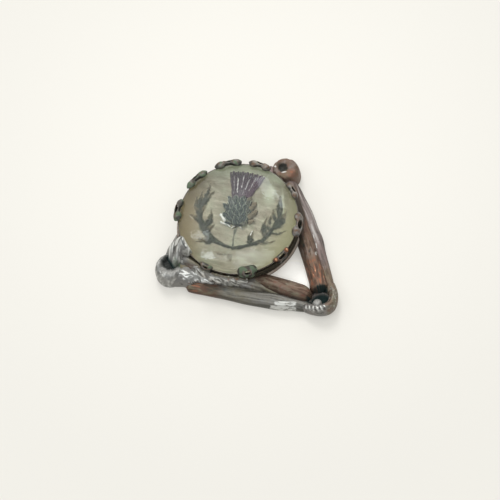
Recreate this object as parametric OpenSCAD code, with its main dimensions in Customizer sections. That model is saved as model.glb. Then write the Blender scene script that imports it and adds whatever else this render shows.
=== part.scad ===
// Thistle brooch, millimetres, lying on its back: +Z is up through the stone.
// The origin is at the bottom centre of the brooch, on the surface that it lies on.

/* [Stone] */
// Diameter of the glass cabochon
stone_d = 24; // [23:0.5:24]
// Height of its dome above the girdle
dome_h = 3.6; // [2.5:0.1:4]
// Height of its straight girdle
girdle_h = 0.8; // [0.6:0.1:0.9]
// Height of the bevel under the girdle
bevel_h = 2.3; // [2.2:0.1:2.5]

/* [Setting] */
// Sheet thickness of the stamped cup
cup_t = 0.45; // [0.4:0.05:0.5]
// Shift of the cup from the middle of the frame, to the side
cup_dx = -4.6; // [-4.7:0.05:-4.4]
// Shift of the cup from the middle of the frame, towards the top corner
cup_dy = 3.1; // [3:0.05:3.2]
// Height of the cup's rim above its floor
rim_h = 2; // [1.9:0.1:2.1]
// Number of tabs that are bent over the stone
tab_n = 10; // [8:1:11]
// Angle of the first tab
tab_first = 11; // [0:1:35]
// Angle between the two lobes of a tab
lobe_a = 13; // [12:0.5:15]
// Radius of a lobe
lobe_r = 1.3; // [1.1:0.1:1.5]
// Length of the oval eyelet in a tab
eyelet_l = 1.6; // [1.3:0.1:1.8]
// Width of the oval eyelet
eyelet_w = 0.7; // [0.5:0.1:0.8]

/* [Frame] */
// Distance of the top corner's socket from the middle of the frame
top_dist = 17.05; // [16.9:0.05:17.5]
// Distance of the two lower sockets from the middle of the frame
low_dist = 18.15; // [18:0.05:18.3]
// Angle of the lower sockets below the horizontal
low_a = 28; // [27.5:0.5:29]
// Height of the frame where the cup stands on it
seat_z = 2.2; // [2.1:0.1:2.5]
// Height of the butts
butt_h = 4.1; // [3.8:0.1:4.3]
// Radius of the socket in each butt
socket_r = 1.2; // [1:0.05:1.3]
// Depth of the socket
socket_depth = 1.9; // [1.2:0.1:2.2]

/* [Pin] */
// Length of the pin's back bar
pin_l = 14; // [12:0.5:14]
// Width of the back bar
pin_w = 3; // [2.5:0.1:3.5]
// Diameter of the pin's stem
pin_d = 0.8; // [0.7:0.1:0.9]
// Angle of the pin, square to the thistle
pin_a = 9.7; // [8:0.1:12]

/* [Hidden] */
$fn = 96;
gap = 0.06;
far = 100;

// Corners of the frame, a row for each: [angle of the socket, its distance from the middle,
// radius of the butt round it, shift of the butt to the right, shift of the butt upwards]
CORNERS = [
    [90, top_dist, 2.85, 1.1, -0.4],
    [180 + low_a, low_dist, 2.95, 0.5, -0.8],
    [360 - low_a, low_dist, 2.9, 0.6, 0.3]
];
// Sides, a row for each: [corner of the butt, corner of the tip, shift of the horn outwards,
// shift of the band outwards at its tip]
SIDES = [
    [1, 2, 0.05, 0],
    [2, 0, 0.75, -0.3],
    [0, 1, 0.2, 0.9]
];
// Horn, a row for each section: [place along the side, radius]
HORN = [[0.06, 2.7], [0.16, 2.6], [0.28, 2.4], [0.42, 2.35], [0.58, 2.35], [0.74, 2.35],
        [0.85, 2.3], [0.93, 1.8], [0.985, 1]];
// Outer band, a row for each section: [place along the side, radius]
BAND = [[0.15, 1.25], [0.22, 1.5], [0.35, 1.65], [0.5, 1.65], [0.68, 1.6], [0.8, 1.4], [0.9, 1]];

// Ends of each axis as [offset outwards, height above the back]
horn_axis = [[0.7, 1.2], [0, 1.6]];
band_axis = [[3, 0.8], [1.3, 0.9]];
butt_round = 1.1;

floor_t = 0.5;
foil_t = 0.2;
cup_z = seat_z + gap;
cup_out_r = stone_d / 2 + 0.2;
cup_in_r = cup_out_r - cup_t;
foil_z = cup_z + floor_t + gap;
stone_z = foil_z + foil_t + gap;
girdle_z = stone_z + bevel_h + girdle_h;
stone_back_r = stone_d / 2 - 1.4;
dome_r = (pow(stone_d / 2, 2) + pow(dome_h, 2)) / (2 * dome_h);

// Curl of a tab, seen from its side: a round arc from the rim up and over the girdle
curl_r = 1.4;
curl_x = stone_d / 2 - 0.55;
curl_z = girdle_z - 0.4;
curl_from = -70;
curl_to = 98;
curl_steps = 7;
curl_sweep = 32;
eyelet_x = curl_x + 0.9;

pin_bar_t = 0.4;
pin_top = seat_z - gap;
pin_stem_z = 0.75;
pin_at = [-0.9, -0.2];
hinge_l = 2.2;
catch_l = 1.6;

function corner(i) = CORNERS[i][1] * [cos(CORNERS[i][0]), sin(CORNERS[i][0])];
function side_len(s) = norm(corner(s[1]) - corner(s[0]));
function side_angle(s) = let (d = corner(s[1]) - corner(s[0])) atan2(d[1], d[0]);
function butt_centre(i) = corner(i) + [CORNERS[i][3], CORNERS[i][4]];

// How far a side's outer band reaches outwards from the line between its corners
function band_reach(s) = max([
    for (r = BAND)
        let (in = band_axis[0][0], out = band_axis[1][0] + s[3])
        in + (out - in) * r[0] + r[1]
]);

// Middle of the brooch, from its outermost butts and the belly of the lower side's band
x_lo = butt_centre(1)[0] - CORNERS[1][2];
x_hi = butt_centre(2)[0] + CORNERS[2][2];
y_hi = butt_centre(0)[1] + CORNERS[0][2];
y_lo = corner(1)[1] - band_reach(SIDES[0]);
middle = [(x_lo + x_hi) / 2, (y_lo + y_hi) / 2];

// Moves a side from along +X, with its butt at the origin, to its corner
module at_side(s) {
    translate(corner(s[0])) rotate([0, 0, side_angle(s)]) children();
}

// Moves a piece from the middle of the frame to its place over the origin
module in_place() {
    translate([-middle[0], -middle[1], 0]) children();
}

module at_cup(z) {
    translate([cup_dx, cup_dy, z]) children();
}

// A round bar that swells and tapers, with its axis between two points [along, across, height]
module spindle(from, to, rows) {
    d = to - from;
    long = norm(d);
    translate(from)
        rotate([0, 0, atan2(d[1], d[0])])
            rotate([0, 90 - asin(d[2] / long), 0])
                rotate_extrude()
                    polygon(concat(
                        [[0, rows[0][0] * long]],
                        [for (r = rows) [r[1], r[0] * long]],
                        [[0, rows[len(rows) - 1][0] * long]]));
}

// One side's horn or band, with shifts outwards at its two ends
module side_bar(s, axis, shifts, rows) {
    at_side(s)
        spindle([0, -axis[0][0] - shifts[0], axis[0][1]], [side_len(s), -axis[1][0] - shifts[1], axis[1][1]], rows);
}

// Round end of a horn, with rounded edges
module butt(i) {
    r = CORNERS[i][2];
    translate(butt_centre(i)) rotate_extrude() union() {
        square([r - butt_round, butt_h]);
        translate([0, butt_round]) square([r, butt_h - 2 * butt_round]);
        for (z = [butt_round, butt_h - butt_round])
            translate([r - butt_round, z]) circle(butt_round);
    }
}

module socket(i) {
    mouth = socket_r * 1.2;
    bottom = socket_r * 0.6;
    translate([corner(i)[0], corner(i)[1], butt_h - socket_depth])
        cylinder(h = socket_depth, r1 = bottom, r2 = mouth);
}

module frame() {
    color([0.55, 0.53, 0.5]) in_place() difference() {
        union() {
            for (s = SIDES) side_bar(s, horn_axis, [s[2], 0], HORN);
            for (s = SIDES) side_bar(s, band_axis, [0, s[3]], BAND);
            for (i = [0 : 2]) butt(i);
        }
        translate([-far / 2, -far / 2, -far]) cube(far);
        at_cup(seat_z) cylinder(h = far, r = cup_out_r + gap);
        for (i = [0 : 2]) socket(i);
    }
}

// Points on an arc round the middle of a tab's curl, seen from its side
function curl_arc(r, from, to) = [
    for (i = [0 : curl_steps])
        let (a = from + (to - from) * i / curl_steps)
        [curl_x + r * cos(a), curl_z + r * sin(a)]
];

// Curled sheet that a tab is cut from, centred on +X
module curl() {
    rotate(-curl_sweep / 2) rotate_extrude(angle = curl_sweep)
        polygon(concat(curl_arc(curl_r, curl_from, curl_to), curl_arc(curl_r - cup_t, curl_to, curl_from)));
}

// Outline of one tab from above, centred on +X: two lobes
module tab_outline() {
    for (a = [-lobe_a / 2, lobe_a / 2])
        rotate(a) translate([curl_x + 0.4, 0]) circle(lobe_r);
    translate([curl_x + 0.5, -1.5]) square([3, 3]);
}

// Oval hole in a tab, centred on +X
module eyelet() {
    half = (eyelet_l - eyelet_w) / 2;
    for (y = [-half, half]) translate([eyelet_x, y]) circle(d = eyelet_w);
    translate([eyelet_x - eyelet_w / 2, -half]) square([eyelet_w, 2 * half]);
}

// One two-lobed tab, centred on +X
module tab() {
    intersection() {
        curl();
        linear_extrude(far) difference() {
            tab_outline();
            eyelet();
        }
    }
}

module setting() {
    color([0.45, 0.3, 0.22]) in_place() at_cup(0) {
        translate([0, 0, cup_z]) difference() {
            cylinder(h = floor_t + rim_h, r = cup_out_r);
            translate([0, 0, floor_t]) cylinder(h = far, r = cup_in_r);
        }
        for (i = [0 : tab_n - 1]) rotate(tab_first + i * 360 / tab_n) tab();
    }
}

module foil() {
    color([0.72, 0.7, 0.58]) in_place() at_cup(foil_z) cylinder(h = foil_t, r = stone_back_r);
}

module stone() {
    r = stone_d / 2;
    color([0.66, 0.66, 0.52]) in_place() at_cup(stone_z) {
        cylinder(h = bevel_h, r1 = stone_back_r, r2 = r);
        translate([0, 0, bevel_h]) cylinder(h = girdle_h, r = r);
        translate([0, 0, bevel_h + girdle_h]) intersection() {
            translate([0, 0, dome_h - dome_r]) sphere(dome_r);
            translate([0, 0, -girdle_h / 2]) cylinder(h = far, r = r);
        }
    }
}

// Back bar, hinge block, stem and catch in one piece
module pin() {
    bar_z = pin_top - pin_bar_t;
    hinge_z = pin_stem_z - 0.5;
    catch_z = pin_stem_z - 0.6;
    catch_w = 1.8;
    color([0.7, 0.68, 0.64]) in_place() translate([pin_at[0], pin_at[1], 0]) rotate(pin_a) {
        translate([-pin_l / 2, -pin_w / 2, bar_z]) cube([pin_l, pin_w, pin_bar_t]);
        translate([-pin_l / 2, -pin_w / 2, hinge_z]) cube([hinge_l, pin_w, pin_top - hinge_z]);
        translate([hinge_l / 2 - pin_l / 2, 0, pin_stem_z])
            rotate([0, 90, 0]) cylinder(h = pin_l - hinge_l, d = pin_d);
        translate([pin_l / 2 - catch_l, -catch_w / 2, catch_z]) difference() {
            cube([catch_l, catch_w, pin_top - catch_z]);
            translate([-1, catch_w / 3, 0.2]) cube([catch_l + 2, catch_w, bar_z - catch_z - 0.3]);
        }
    }
}

frame();
setting();
foil();
stone();
pin();
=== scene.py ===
"""Thistle brooch: worn plated metal, a round glass cabochon and the thistle inside it.

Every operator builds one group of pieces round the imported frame, in the frame's own place.
Sizes in this file are in millimetres, and meshes are scaled to metres when they are made.
"""

import math

import bmesh
import bpy
import numpy as np
from bpy.props import FloatProperty, FloatVectorProperty, IntProperty, PointerProperty
from mathutils import Matrix, Vector, noise


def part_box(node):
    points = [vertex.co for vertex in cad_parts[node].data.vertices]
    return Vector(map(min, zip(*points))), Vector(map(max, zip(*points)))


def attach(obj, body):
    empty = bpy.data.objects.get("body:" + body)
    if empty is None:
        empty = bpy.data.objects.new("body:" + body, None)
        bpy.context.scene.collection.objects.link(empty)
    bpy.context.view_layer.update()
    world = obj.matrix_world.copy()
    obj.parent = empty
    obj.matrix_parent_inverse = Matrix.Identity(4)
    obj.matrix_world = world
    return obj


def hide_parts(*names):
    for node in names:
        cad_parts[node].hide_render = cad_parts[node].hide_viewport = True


bl_info = {
    "name": "Thistle Brooch",
    "version": (1, 0, 0),
    "blender": (4, 5, 0),
    "location": "View3D > Sidebar > Brooch",
    "description": "Builds a three-cornered brooch with a thistle under a glass cabochon",
    "category": "Add Mesh",
}

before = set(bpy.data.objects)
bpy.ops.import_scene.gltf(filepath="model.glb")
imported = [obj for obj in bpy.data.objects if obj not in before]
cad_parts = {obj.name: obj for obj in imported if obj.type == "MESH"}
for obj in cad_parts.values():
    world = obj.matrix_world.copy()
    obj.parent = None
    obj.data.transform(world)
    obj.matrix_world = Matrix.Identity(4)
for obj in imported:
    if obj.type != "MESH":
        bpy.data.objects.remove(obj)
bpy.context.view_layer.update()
MM = 0.001


def box_mm(node):
    """Lowest and highest corner of a CAD node, in millimetres."""
    low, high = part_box(node)
    return np.array(low) / MM, np.array(high) / MM


stone_low, stone_high = box_mm("stone")
frame_high = box_mm("frame")[1]
cup_low = box_mm("setting")[0]

# Stone: its radius, place and heights come from the CAD node. Its dome, girdle and bevel are the solid's
STONE_R = (stone_high[0] - stone_low[0]) / 2
CUP = (stone_low[:2] + stone_high[:2]) / 2
STONE_BACK_Z = stone_low[2]
DOME_TOP_Z = stone_high[2]
DOME_H = 3.6
GIRDLE_H = 0.8
BEVEL_IN = 1.4
GIRDLE_Z = DOME_TOP_Z - DOME_H
DOME_R = (STONE_R**2 + DOME_H**2) / (2 * DOME_H)
STONE_TURNS = 192
# Radius of the innermost ring of a section that closes at its axis
AXIS_R = 0.02

# Corners of the frame: top, left and right. Each has a socket, and a butt that stands off it
TOP, LEFT, RIGHT = 0, 1, 2
LOW_A = math.radians(28)
LOW_DIST = 18.15
TOP_DIST = 17.05
SOCKETS_IN_PLAN = np.array([
    (0, TOP_DIST),
    (-LOW_DIST * math.cos(LOW_A), -LOW_DIST * math.sin(LOW_A)),
    (LOW_DIST * math.cos(LOW_A), -LOW_DIST * math.sin(LOW_A)),
])
RIGHT_BUTT = (0.6, 2.9)
TOP_BUTT = (-0.4, 2.85)
PLAN_MIDDLE = np.array([
    SOCKETS_IN_PLAN[RIGHT][0] + sum(RIGHT_BUTT) - frame_high[0],
    SOCKETS_IN_PLAN[TOP][1] + sum(TOP_BUTT) - frame_high[1],
])
SOCKETS = SOCKETS_IN_PLAN - PLAN_MIDDLE

# Seat of the cup on the frame, a gap below its floor, and the outside and thickness of the cup's wall
SEAT_GAP = 0.06
SEAT_Z = cup_low[2] - SEAT_GAP
WALL_R = STONE_R + 0.2
WALL_THICK = 0.1

# Camera: tilt from the brooch's own +Z, direction in plan and roll in degrees, as in the photograph. Then
# the width of its field, the point that it looks at, its lens and its sensor
VIEW_TILT = 25.0
VIEW_AZIMUTH = 29.4
VIEW_ROLL = 12.8
VIEW_FIELD = 98.7
VIEW_AIM = (-1.15, -5.45, 3.99)
LENS = 150.0
SENSOR = 36.0


def view_axes():
    """The camera's directions to its right, upwards and back towards it."""
    tilt, azimuth = math.radians(VIEW_TILT), math.radians(VIEW_AZIMUTH)
    back = Vector((math.sin(azimuth) * math.sin(tilt), -math.cos(azimuth) * math.sin(tilt), math.cos(tilt)))
    upright = (Vector((0, 0, 1)) - back.z * back).normalized()
    right = Matrix.Rotation(-math.radians(90 + VIEW_ROLL), 3, back) @ upright
    return right, back.cross(right), back


def eye():
    """Place of the camera."""
    return Vector(VIEW_AIM) + view_axes()[2] * VIEW_FIELD * LENS / SENSOR


def length_property(label, about, value):
    """A length setting, in millimetres."""
    return FloatProperty(name=label, description=f"{about}, in millimetres", default=value)


class BroochSizes(bpy.types.PropertyGroup):
    bark_relief: length_property("Bark relief", "Height of the bark strokes on the horns", 0.15)
    streak_relief: length_property("Streak relief", "Height of the fine lengthwise streaks", 0.09)
    flute_relief: length_property("Flute relief", "Depth of the flutes at the right corner", 0.2)
    tab_thickness: length_property("Tab thickness", "Thickness of a gallery tab", 0.34)
    tab_count: IntProperty(
        name="Tabs", description="Number of curled tabs bent over the stone", default=9, min=3, max=9)
    thistle_relief: length_property("Thistle relief", "Height of the thistle inside the glass", 0.8)
    pin_stem: length_property("Pin stem", "Diameter of the pin's stem", 0.8)


def colour_property(label, about, value):
    """A colour setting, in linear values."""
    return FloatVectorProperty(
        name=label, description=about, subtype="COLOR", size=3, min=0, max=1, default=value)


class BroochColours(bpy.types.PropertyGroup):
    plate: colour_property("Plate", "Tarnished silver plate", (0.24, 0.235, 0.225))
    mauve: colour_property("Mauve plate", "Warm tarnish in the plate", (0.23, 0.175, 0.165))
    bright: colour_property("Bright plate", "Rubbed silver on the ridges", (0.76, 0.765, 0.74))
    # Pale: worn patches, and painted highlights on rims, flutes and edges
    pale: colour_property("Pale plate", "Pale worn patches", (0.56, 0.56, 0.53))
    # Also the colour of painted shade on flanks and in crevices, where the relief is lowered
    tarnish: colour_property("Tarnish", "Dark tarnish in the hollows", (0.07, 0.07, 0.062))
    brown: colour_property("Brown", "Brown metal where the plate is thin", (0.155, 0.1, 0.068))
    rust: colour_property("Red brown", "Red brown patches", (0.155, 0.07, 0.048))
    olive: colour_property("Olive", "Olive patina", (0.17, 0.15, 0.1))
    copper: colour_property("Copper", "Bare copper", (0.64, 0.34, 0.2))
    dull_copper: colour_property("Dull copper", "Copper round the bare spots", (0.25, 0.11, 0.065))
    verdigris: colour_property("Verdigris", "Green crust", (0.072, 0.105, 0.062))
    # Pit: the colour of painted shade in the pits, crevices and seams
    pit: colour_property("Pit", "Blackened socket", (0.018, 0.036, 0.035))
    glass: colour_property("Glass", "Tint of the cabochon", (0.975, 0.985, 0.955))
    ground: colour_property("Ground", "Ground behind the thistle", (0.2, 0.178, 0.132))
    ground_green: colour_property("Green ground", "Greener parts of the ground", (0.185, 0.197, 0.138))
    ground_olive: colour_property("Olive ground", "Right edge of the ground", (0.255, 0.24, 0.145))
    ground_umber: colour_property("Umber ground", "Left edge of the ground", (0.2, 0.155, 0.085))
    leaf: colour_property("Leaf", "Carved leaves", (0.012, 0.017, 0.011))
    head: colour_property("Head", "Scales of the thistle's head", (0.014, 0.027, 0.026))
    # Painted highlight on the edges and tips of the scales
    scale_highlight: colour_property("Head edges", "Worn edges of the scales", (0.36, 0.4, 0.33))
    tuft: colour_property("Tuft", "Thistle's flower", (0.05, 0.038, 0.052))
    pin: colour_property("Pin", "Pin and catch", (0.55, 0.54, 0.5))


# Shades within a finish, in linear values
RUBBED_GREY = (0.33, 0.33, 0.315)
BROWN_TARNISH = (0.07, 0.038, 0.027)
RUST_STAIN = (0.21, 0.115, 0.08)
PALE_COPPER = (0.5, 0.43, 0.36)
# Painted shade on the cup's wall, dark with lighter flecks
RECESS_SHADE = (0.02, 0.015, 0.006)
RECESS_SHADE_FLECK = (0.075, 0.06, 0.035)
GLASS_SHADOW = (0.93, 0.95, 0.9)
GROUND_SWEEP = (0.33, 0.325, 0.24)
GROUND_SHADE = (0.14, 0.125, 0.08)
GROUND_FLECK = (0.11, 0.1, 0.06)
# Painted reflection of the room on the dome
GROUND_REFLECTION = (0.42, 0.45, 0.33)
LEAF_LIGHT = (0.045, 0.056, 0.038)
LEAF_TIP = (0.1, 0.085, 0.05)
HUSK = (0.13, 0.105, 0.065)
PLUM = (0.075, 0.045, 0.07)
# Painted highlight inside the glass
PAINTED_HIGHLIGHT = (0.8, 0.8, 0.78)
BACKING = (0.05, 0.035, 0.025)
PIN_STAIN = (0.22, 0.18, 0.13)


class Wire:
    """A socket in a material's node tree, for shader maths written as Python sums."""

    def __init__(self, tree, socket=None):
        self.tree = tree
        self.socket = socket

    def node(self, kind, settings, inputs, output=0):
        """Adds a node, sets it up, then fills its inputs by name or number with values or wires."""
        made = self.tree.nodes.new(kind)
        for name, value in settings.items():
            if name == "stops":
                set_stops(made.color_ramp, value)
            else:
                setattr(made, name, value)
        for key, value in inputs.items():
            if isinstance(value, Wire):
                self.tree.links.new(value.socket, made.inputs[key])
            else:
                made.inputs[key].default_value = value
        return Wire(self.tree, made.outputs[output])

    def maths(self, operation, *values):
        """A Math node on up to three values or wires."""
        return self.node("ShaderNodeMath", {"operation": operation}, dict(enumerate(values)))

    def __add__(self, other):
        return self.maths("ADD", self, other)

    __radd__ = __add__

    def __sub__(self, other):
        return self.maths("SUBTRACT", self, other)

    def __rsub__(self, other):
        return self.maths("SUBTRACT", other, self)

    def __mul__(self, other):
        return self.maths("MULTIPLY", self, other)

    __rmul__ = __mul__

    def between(self, low, high):
        """0 below low, 1 above high and smooth between them."""
        return self.node(
            "ShaderNodeMapRange", {"interpolation_type": "SMOOTHSTEP"},
            {"Value": self, "From Min": low, "From Max": high})

    def mix(self, colour, other):
        """Colour where this wire is 0 and the other colour where it is 1."""
        return self.node(
            "ShaderNodeMix", {"data_type": "RGBA"}, {0: self, 6: full(colour), 7: full(other)}, 2)

    def mask(self, name):
        """A mask that the mesh carries."""
        return self.node("ShaderNodeAttribute", {"attribute_name": name}, {}, "Fac")

    def worn(self, name, grit, share, low, high):
        """A mask whose edge is broken up by a share of a grain, cut between low and high."""
        return (self.mask(name) + (grit - 0.5) * share).between(low, high)

    def place(self, stretch=(1, 1, 1)):
        """Object coordinates in millimetres, divided by a stretch for each axis."""
        coords = self.node("ShaderNodeTexCoord", {}, {}, "Object")
        scale = [1 / (MM * s) for s in stretch]
        return self.node(
            "ShaderNodeVectorMath", {"operation": "MULTIPLY"}, {0: coords, 1: scale})

    def grain(self, size, detail=3.0, stretch=(1, 1, 1), roughness=0.55):
        """Noise from 0 to 1 with lumps of a size in millimetres."""
        return self.node(
            "ShaderNodeTexNoise", {"noise_dimensions": "3D"},
            {"Vector": self.place(stretch), "Scale": 1 / size, "Detail": detail, "Roughness": roughness})

    def away(self, spot):
        """Distance from a place, in millimetres."""
        return self.node(
            "ShaderNodeVectorMath", {"operation": "DISTANCE"}, {0: self.place(), 1: spot}, "Value")

    def bump(self, height, depth):
        """Normal of a bumpy surface, where the height runs from 0 to 1 and depth is in millimetres."""
        return self.node("ShaderNodeBump", {}, {"Strength": 1.0, "Distance": depth * MM, "Height": height})


def set_stops(ramp, stops):
    """Gives a colour ramp its stops, as (place, colour)."""
    while len(ramp.elements) < len(stops):
        ramp.elements.new(0.5)
    for element, (place, colour) in zip(ramp.elements, stops):
        element.position = place
        element.color = full(colour)


def full(colour):
    """A colour with its alpha, or a wire as it is."""
    if isinstance(colour, Wire):
        return colour
    return (*colour[:3], 1.0)


def new_finish(name):
    """An empty material and a wire to start its maths from."""
    material = bpy.data.materials.new(name)
    material.use_nodes = True
    return material, Wire(material.node_tree)


def drive(material, **sockets):
    """Sets or links sockets of a material's Principled shader, named with _ for a space."""
    tree = material.node_tree
    shader = tree.nodes["Principled BSDF"]
    for key, value in sockets.items():
        socket = shader.inputs[key.replace("_", " ")]
        if isinstance(value, Wire):
            tree.links.new(value.socket, socket)
        else:
            socket.default_value = value
    return material


def worn_plate(colours):
    """Silver plate: rubbed bright on the ridges, dark in the hollows, worn to brown metal and bare copper."""
    material, wire = new_finish("worn silver plate")
    relief = wire.mask("relief")
    blotch = wire.grain(1.5, detail=4)
    speck = wire.grain(0.45, detail=4)
    patch = wire.grain(0.8, detail=3)
    metal = wire.worn("mauve", blotch, 0.7, 0.1, 0.8).mix(colours.plate, colours.mauve)
    brown = patch.between(0.5, 0.7).mix(colours.brown, colours.rust)
    brown = (blotch - 0.15 * wire.mask("mauve")).between(0.45, 0.7).mix(brown, colours.olive)
    metal = wire.worn("brown", blotch, 0.7, 0.2, 0.75).mix(metal, brown)
    metal = wire.worn("olive", patch, 0.5, 0.15, 0.75).mix(metal, colours.olive)
    rubbed = (wire.mask("silver") - wire.mask("olive")).between(0, 0.8)
    metal = (rubbed * 0.7).mix(metal, RUBBED_GREY)
    # Dark tarnish in the hollows, and painted shade where flanks, crevices and dark tabs lower the relief
    hollow = 1 - wire.worn("relief", speck, 0.8, -0.1, 0.45)
    metal = (hollow * 0.7).mix(metal, wire.mask("brown").mix(colours.tarnish, BROWN_TARNISH))
    metal = wire.worn("rust", patch, 0.8, 0.2, 1.0).mix(metal, RUST_STAIN)
    silver = rubbed * wire.worn("relief", speck, 0.7, 0.43, 0.93)
    metal = silver.mix(metal, colours.bright)
    # Pale worn patches, and painted highlights from the pale marks
    pale = wire.worn("pale", speck, 0.4, 0.25, 0.8)
    metal = pale.mix(metal, colours.pale)
    bare = wire.worn("copper", speck, 0.9, 0.35, 0.7) * wire.mask("copper").between(0, 0.1)
    metal = bare.mix(metal, colours.dull_copper)
    shiny = (wire.mask("copper") + (patch - 0.5) * 1.6 + (relief - 0.5) * 0.6).between(0.95, 1.35)
    metal = shiny.mix(metal, colours.copper)
    metal = wire.worn("green", speck, 0.5, 0.3, 0.9).mix(metal, colours.verdigris)
    # Pit: painted shade in pits, crevices and seams
    pit = wire.mask("pit").between(0.05, 0.9)
    metal = pit.mix(metal, colours.pit)
    dull = wire.mask("brown") * 0.5 + wire.mask("olive") * 0.5
    return drive(
        material,
        Base_Color=metal,
        Metallic=0.9 - 0.7 * (dull + 0.5 * pale).between(0, 1),
        Roughness=0.52 - 0.08 * silver - 0.12 * shiny + 0.3 * pit + 0.25 * (speck - 0.45),
        Normal=wire.bump(speck * 0.7 + wire.grain(0.14, detail=2) * 0.3, 0.05))


def gallery_copper(colours):
    """Tarnished copper strip, shiny on its lobes and green in places, with painted shade above the cup's
    foot.
    """
    material, wire = new_finish("gallery copper")
    blotch = wire.grain(0.9, detail=4)
    speck = wire.grain(0.3, detail=3)
    relief = wire.mask("relief")
    metal = blotch.between(0.35, 0.65).mix(colours.plate, colours.brown)
    metal = relief.between(0.15, 0.6).mix(colours.tarnish, metal)
    metal = wire.worn("pale", speck, 0.3, 0.2, 0.9).mix(metal, PALE_COPPER)
    metal = wire.worn("copper", speck, 0.8, 0.2, 0.6).mix(metal, colours.dull_copper)
    shine = (wire.mask("copper") + (relief - 0.6) * 1.2 + (speck - 0.5) * 0.5).between(0.8, 1.15)
    metal = shine.mix(metal, colours.copper)
    green = wire.worn("green", speck, 0.7, 0.3, 0.85)
    metal = green.mix(metal, colours.verdigris)
    # Painted shade on the cup's wall above its foot and on the darker tabs
    recess = wire.mask("recess").between(0, 1)
    metal = recess.mix(metal, speck.between(0.4, 0.75).mix(RECESS_SHADE, RECESS_SHADE_FLECK))
    return drive(
        material,
        Base_Color=metal,
        Metallic=0.85 - 0.8 * (green + recess).between(0, 1),
        Roughness=0.5 - 0.22 * shine + 0.25 * (blotch - 0.4) + 0.4 * recess,
        Normal=wire.bump(speck, 0.05))


def cabochon_glass(colours):
    """Clear pressed glass. Lamps shine through it on to the thistle."""
    material, wire = new_finish("cabochon glass")
    haze = wire.grain(2.4, detail=5)
    drive(
        material,
        Base_Color=full(colours.glass),
        IOR=1.5,
        Transmission_Weight=1.0,
        Roughness=0.03 + 0.06 * haze.between(0.45, 0.8),
        Normal=wire.bump(wire.grain(3.0, detail=4), 0.1))
    tree = material.node_tree
    glass = Wire(tree, tree.nodes["Principled BSDF"].outputs[0])
    clear = wire.node("ShaderNodeBsdfTransparent", {}, {"Color": full(GLASS_SHADOW)})
    lamp = wire.node("ShaderNodeLightPath", {}, {}, "Is Shadow Ray")
    shown = wire.node("ShaderNodeMixShader", {}, {0: lamp, 1: glass, 2: clear})
    tree.links.new(shown.socket, tree.nodes["Material Output"].inputs["Surface"])
    return material


def thistle_paint(colours):
    """The ground inside the glass, with the painted thistle and its sprays."""
    material, wire = new_finish("thistle ground")
    blotch = wire.grain(3.0, detail=5)
    brush = wire.grain(0.7, detail=4)
    ground = (blotch.between(0.42, 0.68) * 0.8).mix(colours.ground, colours.ground_green)
    sweep = wire.grain(0.9, detail=4, stretch=(2.6, 0.8, 1))
    ground = (sweep.between(0.45, 0.7) * 0.7).mix(ground, GROUND_SWEEP)
    ground = ((1 - sweep).between(0.5, 0.68) * 0.65).mix(ground, GROUND_SHADE)
    fleck = wire.grain(0.3, detail=3, stretch=(1.8, 0.8, 1))
    ground = (fleck.between(0.53, 0.7) * 0.55).mix(ground, GROUND_FLECK)
    ground = wire.mask("olive").mix(ground, colours.ground_olive)
    ground = wire.mask("umber").mix(ground, colours.ground_umber)
    # Painted reflections of the room on the dome, as pale patches
    ground = (wire.mask("pale") * (0.45 + 0.6 * brush)).mix(ground, GROUND_REFLECTION)
    leaf = (wire.mask("leaf") + (brush - 0.5) * 0.9 * wire.mask("leaf").between(0, 0.2)).between(0.1, 0.75)
    shade = brush.between(0.4, 0.75).mix(colours.leaf, LEAF_LIGHT)
    shade = (wire.mask("tips") + (brush - 0.5)).between(0, 1).mix(shade, LEAF_TIP)
    paint = leaf.mix(ground, shade)
    # Painted shading of the head: lighter edges and tips and darker cores, in place of shading from the
    # scales' relief
    edges = (wire.mask("scale") * 0.7 + brush * 0.4).between(0.36, 0.85)
    paint = wire.mask("head").mix(paint, edges.mix(colours.head, colours.scale_highlight))
    paint = wire.mask("husk").between(0, 1).mix(paint, HUSK)
    tuft = wire.mask("plum").mix(colours.tuft, PLUM)
    paint = wire.mask("flower").between(0.1, 0.8).mix(paint, tuft)
    # Painted highlights: glints beside the head and bright rays in the flower
    paint = wire.mask("glint").between(0.05, 0.9).mix(paint, PAINTED_HIGHLIGHT)
    paint = wire.mask("backing").between(0.3, 0.7).mix(paint, BACKING)
    return drive(
        material,
        Base_Color=paint,
        Roughness=0.5 - 0.15 * wire.mask("glint"),
        Normal=wire.bump(wire.grain(0.35, detail=4), 0.03))


def pin_steel(colours):
    """Plain plated steel with fine drawn lines."""
    material, wire = new_finish("pin steel")
    lines = wire.grain(0.12, detail=3, stretch=(6, 1, 1))
    stain = wire.grain(1.3, detail=4)
    return drive(
        material,
        Base_Color=stain.between(0.4, 0.75).mix(colours.pin, PIN_STAIN),
        Metallic=1.0,
        Roughness=0.32 + 0.2 * (stain - 0.3),
        Normal=wire.bump(lines, 0.012))


def foil_back(colours):
    """Crinkled foil behind the stone."""
    material, wire = new_finish("foil backing")
    crinkle = wire.grain(0.8, detail=4)
    return drive(
        material,
        Base_Color=crinkle.mix(colours.ground, colours.ground_umber),
        Metallic=0.8,
        Roughness=0.35,
        Normal=wire.bump(crinkle, 0.05))


def smooth_table(rows, at):
    """Smooth curve through rows of (place, value...), read at the given places."""
    data = np.array(rows, float)
    place, value = data[:, 0], data[:, 1:]
    slope = np.gradient(value, place, axis=0)
    at = np.clip(np.asarray(at, float), place[0], place[-1])
    i = np.clip(np.searchsorted(place, at, side="right") - 1, 0, len(place) - 2)
    step = (place[i + 1] - place[i])[..., None]
    t = ((at - place[i]) / step[..., 0])[..., None]
    return (
        value[i] * (1 + 2 * t) * (1 - t) ** 2
        + slope[i] * step * t * (1 - t) ** 2
        + value[i + 1] * t**2 * (3 - 2 * t)
        + slope[i + 1] * step * t**2 * (t - 1)
    )


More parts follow.
